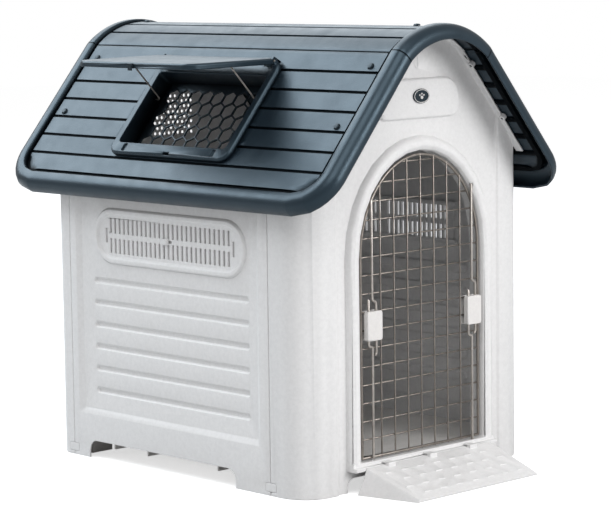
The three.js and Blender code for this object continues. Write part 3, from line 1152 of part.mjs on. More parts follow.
const sides = [['left', -ROD_X, 1], ['right', ROD_X, 0]];
sides.forEach(([name, x, out]) => {
  const drawn = out * ROD_TRAVEL;
  const { shell, cover } = grip(x);
  place(`${name}_latch_grip`, shell, WHITE, doorFrame);
  place(`${name}_latch_cover`, cover, WHITE, doorFrame);
  place(`${name}_upper_rod`, upperRod(x, drawn), STEEL, doorFrame);
  place(`${name}_lower_rod`, lowerRod(x, drawn), STEEL, doorFrame);
  place(`${name}_upper_spring`, rodSpring(upperLeg(x), GRIP_LOW + GRIP_WALL,
    UPPER_COLLAR - COLLAR_THICKNESS - drawn), STEEL, doorFrame);
  place(`${name}_lower_spring`, rodSpring(lowerLeg(x), LOWER_COLLAR + COLLAR_THICKNESS + drawn,
    GRIP_TOP - GRIP_WALL), STEEL, doorFrame);
});

// ---------------------------------------------------------------- ramp

function ramp() {
  const back = LEDGE_FRONT - FIT_GAP;
  const tip = back - RAMP_LENGTH;
  const top = LEDGE_TOP - 1;
  const section = (foot, head, y, low, high) => [
    at(-foot, y, low), at(foot, y, low), at(head, y, high), at(-head, y, high)];
  const wedge = (inset, drop, ends) => solid(loft([
    section(RAMP_BASE_HALF_WIDTH - inset, RAMP_TOP_HALF_WIDTH - inset, back + ends, -drop, top - inset),
    section(RAMP_TIP_HALF_WIDTH + RAMP_TIP_SPREAD - inset, RAMP_TIP_HALF_WIDTH - inset,
      tip + inset * 2, -drop, RAMP_TIP - inset),
  ]));
  const outer = wedge(0, 0, 0);
  const hollow = wedge(RAMP_WALL, 2, 2);
  const slope = Math.atan2(top - RAMP_TIP, RAMP_LENGTH);
  const bars = RAMP_BARS.map((x) => block(x - RAMP_BAR / 2, x + RAMP_BAR / 2, tip + 20, back - 1, 1, top)
    .intersect(outer));
  const treads = [];
  for (let row = 0; row < TREAD_ROWS; row += 1) {
    for (let column = 0; column < TREAD_COLUMNS; column += 1) {
      const stagger = row % 2 ? TREAD_STAGGER : -TREAD_STAGGER;
      const x = (column - (TREAD_COLUMNS - 1) / 2) * TREAD_PITCH + stagger;
      const run = (row + 1) * TREAD_RUN;
      treads.push(blockGeometry(-TREAD_LENGTH / 2, TREAD_LENGTH / 2, -TREAD_WIDTH / 2, TREAD_WIDTH / 2,
        -1.5, 1).rotateX(slope).translate(x, back - run, top - run * Math.tan(slope)));
    }
  }
  const hooks = hookPlaces.flatMap((x) => {
    const limits = [x - HOOK_WIDTH / 2, x + HOOK_WIDTH / 2];
    const tongue = LEDGE_FRONT + LIP + HOOK_SLOT_DEPTH - 0.5;
    return [block(...limits, back - 6, tongue, LEDGE_TOP + SEAT_GAP, LEDGE_TOP + 2.3),
      block(...limits, back - 8, back - 1, top - 4, LEDGE_TOP + 2.3),
      block(...limits, tongue - 1.6, tongue, LEDGE_TOP - 4, LEDGE_TOP + 2)];
  });
  return join(cut(outer, hollow), bars, apart(treads), hooks);
}
place('ramp', ramp(), WHITE);

export default group;
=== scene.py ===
"""A moulded dog house with a blue plank roof, white walls, a wire door and a ramp.

The scene is in metres; the shapes below are written in millimetres and scaled by MM.
+Z is up, the door looks along -Y, and +X is to the right seen from the door.
"""

import math

import bmesh
import bpy
from mathutils import Matrix, Vector


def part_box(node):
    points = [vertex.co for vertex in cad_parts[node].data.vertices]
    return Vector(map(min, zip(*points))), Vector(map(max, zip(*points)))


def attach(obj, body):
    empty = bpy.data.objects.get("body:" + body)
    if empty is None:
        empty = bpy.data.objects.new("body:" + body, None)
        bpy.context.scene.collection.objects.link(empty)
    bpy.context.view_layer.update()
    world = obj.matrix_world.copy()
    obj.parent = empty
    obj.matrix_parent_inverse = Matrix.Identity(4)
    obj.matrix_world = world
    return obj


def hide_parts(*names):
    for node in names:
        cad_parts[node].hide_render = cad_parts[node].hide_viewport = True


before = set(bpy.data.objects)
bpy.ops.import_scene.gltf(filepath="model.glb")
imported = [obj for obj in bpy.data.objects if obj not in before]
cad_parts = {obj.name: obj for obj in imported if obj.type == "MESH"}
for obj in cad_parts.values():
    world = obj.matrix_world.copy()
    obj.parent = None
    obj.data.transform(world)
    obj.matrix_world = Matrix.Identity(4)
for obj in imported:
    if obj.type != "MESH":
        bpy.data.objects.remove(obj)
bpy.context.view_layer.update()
MM = 0.001


# ------------------------------------------------------------------ shape of the roof, as built

SLOPE = math.radians(49.7)  # of both sides, from level
JOINT_TURN = math.radians(40.2)  # half of the ridge's arc, up to its joint with a slope
JOINT_BLEND = 30.0  # length of slope over which its mitred end eases out
RIDGE_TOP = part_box("roof_ridge")[1][2] / MM
RIM_RISE = 4.5
RIDGE_RADIUS = 141.0
RIDGE_CENTRE = RIDGE_TOP - RIM_RISE - RIDGE_RADIUS
JOINT_X = RIDGE_RADIUS * math.sin(JOINT_TURN)
JOINT_Z = RIDGE_CENTRE + RIDGE_RADIUS * math.cos(JOINT_TURN)
ROOF_FRONT, ROOF_REAR = (corner[1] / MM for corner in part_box("roof_ridge"))
ROOF_MIDDLE = (ROOF_FRONT + ROOF_REAR) / 2
ROOF_HALF = (ROOF_REAR - ROOF_FRONT) / 2
SLOPE_LENGTH = 271.5
EAVE_RADIUS = 64.0  # of a slope's two lower corners
SKIN = 3.5  # thickness of the panels

RIM_WIDTH = 27.0
RIM_ROUND = 16.0
RIM_DEPTH = 18.0
RIM_STEPS = 10  # of the rim's rounded edge

SEAM = 0.4  # from the ridge joint to the edge of either panel
SEAM_REACH = 1.5
SEAM_DEPTH = 0.8
SEAM_SHADE = 0.9
SLOPE_SEAM_PLACES = (0, 0.7, 1.5)  # rows from a panel's edge inwards, where the seam bends
RIDGE_SEAM_PLACES = (0, 0.7, 1.6)

PLANK = 34.4
FIRST_PLANK = 2.3  # the first groove is this much further than a plank's width from the joint
PLANKS = 7
PLANK_LINES = [FIRST_PLANK + PLANK * i for i in range(1, PLANKS)]
GROOVE_HALF = 1.9  # half of the flat bottom of a groove between planks
GROOVE_EASE = 0.6  # width of its sloping side
GROOVE_BENDS = (0, 0.35, 0.7, 1.05)  # places across that side, in shares of its width
GROOVE_DEPTH = 2.4

BORDER_GROOVE = 5.0  # between the planks' ends and the foot of the rim
BORDER_DEPTH = 2.8
BORDER_START = BORDER_GROOVE - 0.3  # where the border groove starts to rise to the planks
BORDER_PLACES = [BORDER_START + share * GROOVE_EASE for share in (0, 0.33, 0.66, 1)]
BORDER = EAVE_RADIUS - RIM_WIDTH  # radius of the field's corners, at the foot of the rim
BORDER_U = SLOPE_LENGTH - EAVE_RADIUS
BORDER_Y = ROOF_HALF - EAVE_RADIUS
CORNER_PLACES = (0, 8, 16)  # extra rows where the field's corners begin
FIELD_U = BORDER_U + BORDER  # the foot of the rim at the eave
FIELD_Y = BORDER_Y + BORDER  # and at the gables

SKY_TOP, SKY_BOTTOM, SKY_HALF = 50.4, 188.6, 120.6  # the cut-out under the skylight
SKY_SHIFT = 4.0  # of the cut-out's middle towards the rear


def on_slope(side, u, y, w):
    """A point of a roof slope: u down the slope from the ridge joint, w out of the roof."""
    near = max(0, 1 - u / JOINT_BLEND)
    u = u - w * math.tan(SLOPE - JOINT_TURN) * near
    x = JOINT_X + u * math.cos(SLOPE) + w * math.sin(SLOPE)
    z = JOINT_Z - u * math.sin(SLOPE) + w * math.cos(SLOPE)
    return Vector((side * x, y + ROOF_MIDDLE, z)) * MM


def on_ridge(turn, y, w):
    """A point of the round ridge at an angle from straight up."""
    radius = RIDGE_RADIUS + w
    x, z = radius * math.sin(turn), RIDGE_CENTRE + radius * math.cos(turn)
    return Vector((x, y + ROOF_MIDDLE, z)) * MM


# ------------------------------------------------------------------ materials


def srgb(red, green, blue):
    """A colour in display values of 0 to 255, as the shaders take it."""
    def linear(value):
        value /= 255
        return value / 12.92 if value <= 0.04045 else ((value + 0.055) / 1.055) ** 2.4
    return (linear(red), linear(green), linear(blue), 1)


def scaled(colour, factor):
    return tuple(min(1, value * factor) for value in colour[:3]) + (1,)


class Nodes:
    """Short calls for making a material's nodes."""

    def __init__(self, name):
        self.material = bpy.data.materials.new(name)
        self.material.use_nodes = True
        self.tree = self.material.node_tree
        self.shader = self.tree.nodes["Principled BSDF"]

    def add(self, kind, **settings):
        node = self.tree.nodes.new(kind)
        for key, value in settings.items():
            setattr(node, key, value)
        return node

    def link(self, source, target):
        self.tree.links.new(source, target)

    def noise(self, scale, detail, roughness, stretch=None):
        position = self.add("ShaderNodeTexCoord").outputs["Object"]
        if stretch:
            mapping = self.add("ShaderNodeMapping")
            mapping.inputs["Scale"].default_value = stretch
            self.link(position, mapping.inputs["Vector"])
            position = mapping.outputs["Vector"]
        node = self.add("ShaderNodeTexNoise")
        node.inputs["Scale"].default_value = scale
        node.inputs["Detail"].default_value = detail
        node.inputs["Roughness"].default_value = roughness
        self.link(position, node.inputs["Vector"])
        return node.outputs["Fac"]

    def ramp(self, value, stops):
        """A value turned into a colour or, where the stops are numbers, into another value."""
        node = self.add("ShaderNodeValToRGB")
        elements = node.color_ramp.elements
        while len(elements) < len(stops):
            elements.new(0.5)
        for element, (place, colour) in zip(elements, stops):
            element.position = place
            element.color = colour if isinstance(colour, tuple) else (colour, colour, colour, 1)
        self.link(value, node.inputs["Fac"])
        return node.outputs["Color"]

    def mix(self, factor, first, second, blend="MIX"):
        node = self.add("ShaderNodeMix", data_type="RGBA", blend_type=blend)
        if isinstance(factor, (int, float)):
            node.inputs[0].default_value = factor
        else:
            self.link(factor, node.inputs[0])
        for socket, value in ((node.inputs[6], first), (node.inputs[7], second)):
            if isinstance(value, tuple):
                socket.default_value = value
            else:
                self.link(value, socket)
        return node.outputs[2]

    def bump(self, height, strength, distance, before=None):
        node = self.add("ShaderNodeBump")
        node.inputs["Strength"].default_value = strength
        node.inputs["Distance"].default_value = distance
        self.link(height, node.inputs["Height"])
        if before is not None:
            self.link(before, node.inputs["Normal"])
        return node.outputs["Normal"]


FACE_SHINE, GROOVE_SHINE = 0.62, 0.02  # specular levels of the roof's face and of its painted-shade places, which hardly shine
WAVE_BUMP, LEATHER_BUMP, STREAK_BUMP = 0.0015, 0.0004, 0.0002  # metres


def moulded(name, colour, roughness, mottle, grain, wave=0.35, groove=None, tint=None):
    """Moulded plastic: faint mottling, a fine leathery grain and uneven gloss.

    Places that a mesh marks as sunk take the groove colour, a painted shade, and hardly shine.
    """
    nodes = Nodes(name)
    broad = nodes.noise(scale=7, detail=3, roughness=0.5)
    fine = nodes.noise(scale=160, detail=3, roughness=0.7)
    tone = nodes.ramp(broad, [(0.3, scaled(colour, 1 - mottle)), (0.7, scaled(colour, 1 + mottle))])
    speck = nodes.ramp(fine, [(0.35, 0.94), (0.65, 1.0)])
    base = nodes.mix(1.0, tone, speck, "MULTIPLY")
    if groove:
        # painted shade: places the mesh marks dark mix in the groove colour and lose their shine
        painted_shade_mask = nodes.add("ShaderNodeAttribute", attribute_name="groove").outputs["Fac"]
        base = nodes.mix(painted_shade_mask, base, groove)
        nodes.link(nodes.ramp(painted_shade_mask, [(0, FACE_SHINE), (1, GROOVE_SHINE)]),
                   nodes.shader.inputs["Specular IOR Level"])
    if tint:
        nodes.shader.inputs["Specular Tint"].default_value = tint
    nodes.link(base, nodes.shader.inputs["Base Color"])
    gloss = nodes.ramp(nodes.noise(scale=28, detail=4, roughness=0.6),
                       [(0.3, roughness - 0.05), (0.7, roughness + 0.07)])
    nodes.link(gloss, nodes.shader.inputs["Roughness"])
    leather = nodes.noise(scale=420, detail=2, roughness=0.5)
    wavy = nodes.noise(scale=9, detail=2, roughness=0.4)
    normal = nodes.bump(wavy, wave, WAVE_BUMP)
    nodes.link(nodes.bump(leather, grain, LEATHER_BUMP, normal), nodes.shader.inputs["Normal"])
    return nodes.material


def wire_steel(name, colour):
    """Drawn and plated wire: fine lengthwise streaks and small dull patches."""
    nodes = Nodes(name)
    nodes.shader.inputs["Metallic"].default_value = 0.85
    patches = nodes.noise(scale=60, detail=5, roughness=0.65)
    streaks = nodes.noise(scale=300, detail=2, roughness=0.5, stretch=(1, 1, 0.06))
    tone = nodes.ramp(patches, [(0.3, scaled(colour, 0.75)), (0.7, scaled(colour, 1.15))])
    nodes.link(tone, nodes.shader.inputs["Base Color"])
    nodes.link(nodes.ramp(streaks, [(0.3, 0.28), (0.75, 0.5)]), nodes.shader.inputs["Roughness"])
    nodes.link(nodes.bump(streaks, 0.3, STREAK_BUMP), nodes.shader.inputs["Normal"])
    return nodes.material


BLUE_SHEEN = (0.6, 0.83, 1.0, 1)
# the groove colour is near-black painted shade for the roof's grooves, rim foot, seams and the
# skylight frame's foot
roof_plastic = moulded("roof_plastic", srgb(24, 34, 42), 0.36, mottle=0.05, grain=0.35,
                       groove=srgb(5, 8, 11), tint=BLUE_SHEEN)
white_plastic = moulded("white_plastic", srgb(229, 228, 228), 0.38, mottle=0.008, grain=0.08,
                        wave=0.12)
floor_plastic = moulded("floor_plastic", srgb(222, 219, 216), 0.5, mottle=0.03, grain=0.2)
grip_plastic = moulded("grip_plastic", srgb(226, 223, 221), 0.32, mottle=0.015, grain=0.05)
dark_plastic = moulded("dark_plastic", srgb(22, 28, 33), 0.42, mottle=0.1, grain=0.2,
                       tint=BLUE_SHEEN)
wire_metal = wire_steel("wire_metal", srgb(150, 143, 136))
rod_metal = wire_steel("rod_metal", srgb(186, 180, 174))

# ------------------------------------------------------------------ mesh helpers

POINT_MERGE, CAD_MERGE = 1e-6, 2e-6  # metres
FLAT_ANGLE = 0.1  # degrees; faces of a CAD node that turn less than this become one
SHARP_ANGLE = 28  # degrees; edges of a CAD node that turn more than this are rounded
LEAST_ROUNDING = 0.05  # of the wanted width, where an edge has no room for it
ROOM_SHARE = 0.9  # of the room beside an edge that its rounding may take
SAME_LINE = 0.8  # cosine from which two edges count as running on in one line
FORM_SMOOTH, ROOF_SMOOTH, WIRE_SMOOTH = 34, 42, 60  # degrees; sharper edges are shaded as edges
DOME_REACH, DOME_WIDTH = 0.8, 0.55  # of a wire's domed end, in wire radii
BEND_STEPS = 5  # of an arc that replaces a wire's bend
BEND_SHARE = 0.45  # of a straight length that the arc at its end may take


def store_painted_shade(mesh, values):
    """Store how much painted shade every point takes, most where it lies sunk."""
    mesh.attributes.new("groove", "FLOAT", "POINT").data.foreach_set("value", values)


def piece(name, points, faces, material, body, node, smooth, painted_shade=None):
    """A visual piece from points and faces of its own."""
    mesh = bpy.data.meshes.new(name)
    mesh.from_pydata([tuple(point) for point in points], [], faces)
    if painted_shade is not None:
        store_painted_shade(mesh, painted_shade)
    work = bmesh.new()
    work.from_mesh(mesh)
    bmesh.ops.remove_doubles(work, verts=work.verts, dist=POINT_MERGE)
    bmesh.ops.recalc_face_normals(work, faces=work.faces)
    work.to_mesh(mesh)
    work.free()
    return finish_piece(name, mesh, material, body, node, smooth)


def finish_piece(name, mesh, material, body, node, smooth):
    mesh.materials.clear()
    mesh.materials.append(material)
    mesh.shade_smooth()
    mesh.set_sharp_from_angle(angle=math.radians(smooth))
    thing = bpy.data.objects.new(name, mesh)
    bpy.context.scene.collection.objects.link(thing)
    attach(thing, body)
    if node:
        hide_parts(*(node if isinstance(node, (list, tuple)) else [node]))
    return thing


def modifier(thing, kind, **settings):
    added = thing.modifiers.new(kind.lower(), kind)
    for key, value in settings.items():
        setattr(added, key, value)


def edge_room(edge, sharp):
    """The room for rounding an edge: half the shortest sharp edge that meets it at a corner."""
    along = (edge.verts[1].co - edge.verts[0].co).normalized()
    room = math.inf
    for corner in edge.verts:
        for other in corner.link_edges:
            reach = other.other_vert(corner).co - corner.co
            in_line = abs(reach.normalized().dot(along)) >= SAME_LINE
            if other in sharp and other is not edge and not in_line:
                room = min(room, reach.length / 2)
    return room


def softened(node, material, body, width, segments=3, shade=None):
    """A CAD node's own shape with its edges rounded, as a moulding's are.

    width is the rounding in millimetres, and shade says how dark a place of the piece is.
    """
    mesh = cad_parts[node].data.copy()
    work = bmesh.new()
    work.from_mesh(mesh)
    bmesh.ops.remove_doubles(work, verts=work.verts, dist=CAD_MERGE)
    bmesh.ops.dissolve_limit(work, angle_limit=math.radians(FLAT_ANGLE), verts=work.verts,
                             edges=work.edges)
    bmesh.ops.triangulate(work, faces=[face for face in work.faces if len(face.verts) > 4])
    weight = work.edges.layers.float.new("bevel_weight_edge")
    sharp = {edge for edge in work.edges if edge.calc_face_angle(0) > math.radians(SHARP_ANGLE)}
    for edge in sharp:
        room = edge_room(edge, sharp) * ROOM_SHARE
        edge[weight] = max(LEAST_ROUNDING, min(1.0, room / (width * MM)))
    work.to_mesh(mesh)
    work.free()
    if shade:
        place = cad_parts[node].matrix_world
        store_painted_shade(mesh, [shade(place @ vertex.co) for vertex in mesh.vertices])
    thing = finish_piece(f"{node}_form", mesh, material, body, node, FORM_SMOOTH)
    modifier(thing, "BEVEL", width=width * MM, segments=segments, limit_method="WEIGHT",
             harden_normals=True, use_clamp_overlap=False, miter_outer="MITER_ARC")


def tube(route, radius, sides):
    """Points and faces of a round wire through a route, with domed ends."""
    across = None
    last = len(route) - 1
    rings = []
    for i, spot in enumerate(route):
        before = (route[max(i, 1)] - route[max(i, 1) - 1]).normalized()
        after = (route[min(i, last - 1) + 1] - route[min(i, last - 1)]).normalized()
        along = (before + after).normalized()
        if across is None:
            across = along.orthogonal()
        across = (across - along * across.dot(along)).normalized()
        up = along.cross(across)
        sections = [(0.0, 1.0)]
        if i == 0:
            sections.insert(0, (-DOME_REACH, DOME_WIDTH))
        elif i == last:
            sections.append((DOME_REACH, DOME_WIDTH))
        for share, reach in sections:
            centre = spot + along * (share * radius)
            rings.append([centre + (across * math.cos(turn) + up * math.sin(turn)) * radius * reach
                          for turn in (2 * math.pi * k / sides for k in range(sides))])
    points = [point for ring in rings for point in ring]
    faces = []
    for i in range(len(rings) - 1):
        for k in range(sides):
            a, b = i * sides + k, i * sides + (k + 1) % sides
            faces.append((a, b, b + sides, a + sides))
    faces.append(tuple(reversed(range(sides))))
    faces.append(tuple(range(len(points) - sides, len(points))))
    return points, faces


def tubes(name, routes, material, body, node=None, sides=10):
    """One piece of several wires, each given as its route and its radius."""
    points, faces = [], []
    for route, radius in routes:
        more, shape = tube(route, radius, sides)
        faces += [tuple(index + len(points) for index in face) for face in shape]
        points += more
    piece(name, points, faces, material, body, node, WIRE_SMOOTH)


def rounded_route(route, radius):
    """A route with its bends turned into arcs."""
    out = [route[0]]
    for before, corner, after in zip(route, route[1:], route[2:]):
        first, second = before - corner, after - corner
        reach = min(radius, first.length * BEND_SHARE, second.length * BEND_SHARE)
        start, end = corner + first.normalized() * reach, corner + second.normalized() * reach
        for k in range(BEND_STEPS + 1):
            share = k / BEND_STEPS
            out.append(start.lerp(corner, share).lerp(corner.lerp(end, share), share))
    return out + [route[-1]]


# ------------------------------------------------------------------ roof panels

SLOPE_ROW_STEP, SLOPE_COLUMN_STEP = 6, 24
RIDGE_ROW_STEP, RIDGE_COLUMN_STEP = 4, 60
SLOPE_END_PLACES = [0, 2, 12, 40]  # extra columns, from the field's ends inwards
RIDGE_END_PLACES = [0, 2, 40]
LEAST_GAP = 0.05  # stops closer than this are one


def eased(over):
    """1 up to 0, easing to 0 at 1."""
    share = min(1, max(0, 1 - over))
    return share * share * (3 - 2 * share)


def groove_share(distance):
    """1 in the bottom of a groove between planks, easing to 0 beside it."""
    return eased((abs(distance) - GROOVE_HALF) / GROOVE_EASE)


def border_share(distance):
    """1 in the bottom of the border groove, easing to 0 at the planks' ends."""
    return eased((distance - BORDER_START) / GROOVE_EASE)


def seam_share(distance):
    """1 at a panel's edge in the seam of slope and ridge, falling to 0 away from it."""
    return max(0, 1 - distance / SEAM_REACH)


def border_distance(u, y):
    """How far a place of the slope is inside the foot of the rim."""
    a, b = u - BORDER_U, abs(y) - BORDER_Y
    outside = math.hypot(max(a, 0), max(b, 0))
    return BORDER - outside - min(max(a, b), 0)


def spread(stops, step):
    """Stops with even places put in wherever they are more than a step apart."""
    out = [stops[0]]
    for stop in stops[1:]:
        gap = stop - out[-1]
        if gap < LEAST_GAP:
            continue
        parts = max(1, math.ceil(gap / step))
        out += [out[-1] + gap * (k + 1) / parts for k in range(parts)]
    return out


def beside(place):
    """Places across a groove where the surface bends."""
    return [place + side * (GROOVE_HALF + share * GROOVE_EASE) for side in (-1, 1)
            for share in GROOVE_BENDS] + [place]


def grid_faces(rows, columns, wanted=lambda i, j: True):
    """Faces between points that were laid down row by row."""
    faces = []
    for i in range(rows - 1):
        for j in range(columns - 1):
            if wanted(i, j):
                a = i * columns + j
                faces.append((a, a + 1, a + 1 + columns, a + columns))
    return faces


def rim_profile():
    """The rim from its foot in the border groove over its rounded edge to its lip.

    Each place is its distance inside the panel's edge, its height and how much painted shade it
    takes, which darkens the rim's foot in the border groove.
    """
    profile = [(RIM_WIDTH - 0.2, -BORDER_DEPTH + 0.5, 1), (RIM_WIDTH - 1.0, 0.6, 0.9),
               (RIM_WIDTH - 1.8, 3.0, 0.35), (RIM_WIDTH - 2.4, 4.0, 0.1),
               (RIM_WIDTH - 3.6, RIM_RISE, 0)]
    for k in range(RIM_STEPS + 1):
        turn = math.pi / 2 * k / RIM_STEPS
        profile.append((RIM_ROUND * (1 - math.sin(turn)),
                        RIM_RISE - RIM_ROUND * (1 - math.cos(turn)), 0))
    return profile + [(0, -RIM_DEPTH + 1.5, 0), (0.6, -RIM_DEPTH, 0)]


def field_half(u):
    """Half of the field's length, which shrinks round the eave's corners."""
    if u <= BORDER_U:
        return FIELD_Y
    return BORDER_Y + math.sqrt(max(0.0, BORDER ** 2 - (u - BORDER_U) ** 2))


def field_height(u, y):
    """The height of a place of a slope's field and how much painted shade it takes in the grooves
    and the seam.
    """
    border = border_share(border_distance(u, y))
    line = max(groove_share(u - place) for place in PLANK_LINES)
    seam = SEAM_DEPTH * seam_share(u - SEAM)
    sunk = max(GROOVE_DEPTH * line, BORDER_DEPTH * border)
    return -sunk - seam, max(line, border, seam * 1.1)


def rim_spot(u, mark, inset, eave_half):
    """A place of the rim, as a place of the slope.

    It is beside row u of the field, and mark is -1 or 1 for the front or the rear. Along the
    eave u is None, and mark is the column that the place is below.
    """
    if u is None:
        return SLOPE_LENGTH - inset, mark / FIELD_Y * eave_half
    if u <= BORDER_U:
        return u, mark * (ROOF_HALF - inset)
    turn = math.asin(min(1, (u - BORDER_U) / BORDER))
    radius = EAVE_RADIUS - inset
    return BORDER_U + radius * math.sin(turn), mark * (BORDER_Y + radius * math.cos(turn))


def roof_slope(name, side, hole):
    stops = [SEAM + place for place in SLOPE_SEAM_PLACES]
    stops += [place for line in PLANK_LINES for place in beside(line)]
    stops += [BORDER_U + place for place in CORNER_PLACES] + [FIELD_U]
    stops += [FIELD_U - place for place in BORDER_PLACES]
    if hole:
        stops += [SKY_TOP, SKY_BOTTOM]
    rows = spread(sorted(stops), SLOPE_ROW_STEP)
    half = [FIELD_Y - place for place in SLOPE_END_PLACES + BORDER_PLACES]
    sky_ends = [SKY_SHIFT - SKY_HALF, SKY_SHIFT + SKY_HALF]
    columns = spread(sorted([-y for y in half] + half + sky_ends), SLOPE_COLUMN_STEP)

    points, painted_shade = [], []
    for u in rows:
        for y in columns:
            place = y / FIELD_Y * field_half(u)
            w, dark = field_height(u, place)
            points.append(on_slope(side, u, place, w))
            painted_shade.append(dark)

    def kept(i, j):
        in_rows = SKY_TOP - 0.01 < rows[i] and rows[i + 1] < SKY_BOTTOM + 0.01
        in_columns = abs((columns[j] + columns[j + 1]) / 2 - SKY_SHIFT) < SKY_HALF
        return not (hole and in_rows and in_columns)

    count = len(columns)
    faces = grid_faces(len(rows), count, kept)

    # the rim's rings start from the field's edge: down one side, along the eave, up the other
    ring = [(u, -1) for u in rows] + [(None, y) for y in columns[1:-1]]
    ring += [(u, 1) for u in reversed(rows)]
    last = (len(rows) - 1) * count
    previous = [i * count for i in range(len(rows))] + [last + j for j in range(1, count - 1)]
    previous += [i * count + count - 1 for i in reversed(range(len(rows)))]
    for inset, w, dark in rim_profile():
        current = []
        for u, mark in ring:
            along, across = rim_spot(u, mark, inset, field_half(rows[-1]))
            current.append(len(points))
            points.append(on_slope(side, along, across, w))
            # painted shade on the rim's foot and along the seam at the ridge
            painted_shade.append(max(dark, SEAM_SHADE * seam_share(along - SEAM)))
        for k in range(len(ring) - 1):
            faces.append((previous[k], previous[k + 1], current[k + 1], current[k]))
        previous = current
    return piece(f"{name}_panel", points, faces, roof_plastic, "house", name,
                 ROOF_SMOOTH, painted_shade)


def roof_cap():
    """The round ridge piece between the two slopes."""
    arc = RIDGE_RADIUS * (JOINT_TURN - SEAM / RIDGE_RADIUS)
    lines = [sign * (RIDGE_RADIUS * JOINT_TURN - PLANK * k) for k in (1, 2) for sign in (-1, 1)]
    stops = [sign * (arc - place) for sign in (-1, 1) for place in RIDGE_SEAM_PLACES]
    stops += [place for line in lines for place in beside(line)]
    rows = spread(sorted(stops), RIDGE_ROW_STEP)
    half = [FIELD_Y - place for place in RIDGE_END_PLACES + BORDER_PLACES]
    columns = spread(sorted([-y for y in half] + half), RIDGE_COLUMN_STEP)
    points, painted_shade = [], []
    for s in rows:
        end = SEAM_SHADE * seam_share(arc - abs(s))
        line = max(groove_share(s - place) for place in lines)
        sections = [(-(ROOF_HALF - inset), w, dark) for inset, w, dark in reversed(rim_profile())]
        for y in columns:
            border = border_share(FIELD_Y - abs(y))
            sunk = max(GROOVE_DEPTH * line, BORDER_DEPTH * border)
            sections.append((y, -sunk, max(line, border)))
        sections += [(ROOF_HALF - inset, w, dark) for inset, w, dark in rim_profile()]
        for y, w, dark in sections:
            points.append(on_ridge(s / RIDGE_RADIUS, y, w - SEAM_DEPTH * end))
            painted_shade.append(max(dark, end))
    faces = grid_faces(len(rows), len(points) // len(rows))
    return piece("roof_ridge_cap", points, faces, roof_plastic, "house",
                 "roof_ridge", ROOF_SMOOTH, painted_shade)


for panel in (roof_slope("roof_left", -1, True), roof_slope("roof_right", 1, False), roof_cap()):
    modifier(panel, "SOLIDIFY", thickness=SKIN * MM, offset=-1, use_even_offset=False)

# ------------------------------------------------------------------ moulded pieces

SHADE_TOP = 3.5  # height over the roof below which the skylight frame starts to be in shade
SHADE_EASE = 2.0
BADGE_STEPS = 40  # of an oval on the badge


def under_frame(place):
    """1 below the skylight frame's flange, as deep places there are in shade; 0 on its face."""
    across = abs(place.x) / MM - JOINT_X
    height = across * math.sin(SLOPE) + (place.z / MM - JOINT_Z) * math.cos(SLOPE)
    return min(1, max(0, (SHADE_TOP - height) / SHADE_EASE))


def badge_marks():
    """A thin raised edge round the badge and a plain paw of one pad and three toes."""
    low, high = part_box("badge")
    middle, half = (low + high) / 2, (high - low) / 2
    face = low.y - 0.1 * MM

    def oval(share_x, share_z, dx=0.0, dz=0.0):
        return [Vector((middle.x + dx * MM + half.x * share_x * math.cos(turn), face,
                        middle.z + dz * MM + half.z * share_z * math.sin(turn)))
                for turn in (2 * math.pi * k / BADGE_STEPS for k in range(BADGE_STEPS + 1))]

    marks = [(oval(0.9, 0.86), 0.5 * MM), (oval(0.1, 0.14, dz=-1.8), 1.1 * MM)]
    marks += [(oval(0.03, 0.05, dx=place, dz=rise), 0.9 * MM)
              for place, rise in ((-4.2, 1.4), (0, 3.2), (4.2, 1.4))]
    tubes("badge_marks", marks, grip_plastic, "house")


for name in ("front_wall", "rear_wall"):
    softened(name, white_plastic, "house", 1.6)
for name in ("left_wall", "right_wall"):
    softened(name, white_plastic, "house", 1.0)
softened("vent_shutter_left", white_plastic, "shutter_left", 0.4, 2)
softened("vent_shutter_right", white_plastic, "shutter_right", 0.4, 2)
softened("floor_base", floor_plastic, "house", 1.2)
softened("skylight_frame", roof_plastic, "house", 1.6, shade=under_frame)
softened("skylight_grille", dark_plastic, "house", 0.4, 2)
softened("skylight_lid", roof_plastic, "lid", 1.4)
softened("lid_catch", dark_plastic, "lid", 0.4, 2)
softened("badge", dark_plastic, "house", 0.6)
badge_marks()
softened("ramp", white_plastic, "ramp", 1.0)
for name in ("left_latch_grip", "left_latch_cover", "right_latch_grip", "right_latch_cover"):
    softened(name, grip_plastic, "door", 1.0)
for name in [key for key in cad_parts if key.startswith("clip_")]:
    softened(name, white_plastic, "house", 0.8)
for name in [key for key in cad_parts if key.startswith("screw_")]:
    softened(name, dark_plastic, "house", 0.8)
for name in ("lid_pin_front", "lid_pin_rear"):
    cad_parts[name].data.materials.clear()
    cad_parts[name].data.materials.append(rod_metal)

# ------------------------------------------------------------------ wire door

DOOR_FOOT = 46.0
ARCH_SPRING = 331.0  # height at which the door's straight sides turn into its arch
EDGE_HALF = 122.5
EDGE_RISE = 139.0
EDGE_STEPS = 48  # of the arch
EDGE_WIRE = 2.0  # radii of the wires
GRID_WIRE = 1.25
GRID_Y = -283.5
GRID_LAYER = 1.1  # uprights are this far before the edge wire, and rungs behind it
UPRIGHT_PITCH = 27.8
UPRIGHTS_EACH_SIDE = 3
RUNG_PITCH = 26.0
SHORTEST_RUNG = 0.9  # half of its length, in upright pitches

ROD_X = 104.5
ROD_Y = -288.4
ROD_RADIUS = 2.0
ROD_BEND = 4.0
JOG = 7.5  # a rod's step sideways on its way into the grip
UPPER_BEND = 79.0  # height of the step above the upper rod's lower end
LOWER_BEND = 67.0  # depth of the step below the lower rod's upper end

COIL_RADIUS = 2.9
COIL_WIRE = 0.4
COIL_MARGIN = 0.5  # left free at both ends of a spring
COIL_TURNS, COIL_STEPS = 8, 12  # turns of a spring and steps of each turn
COIL_SIDES = 6


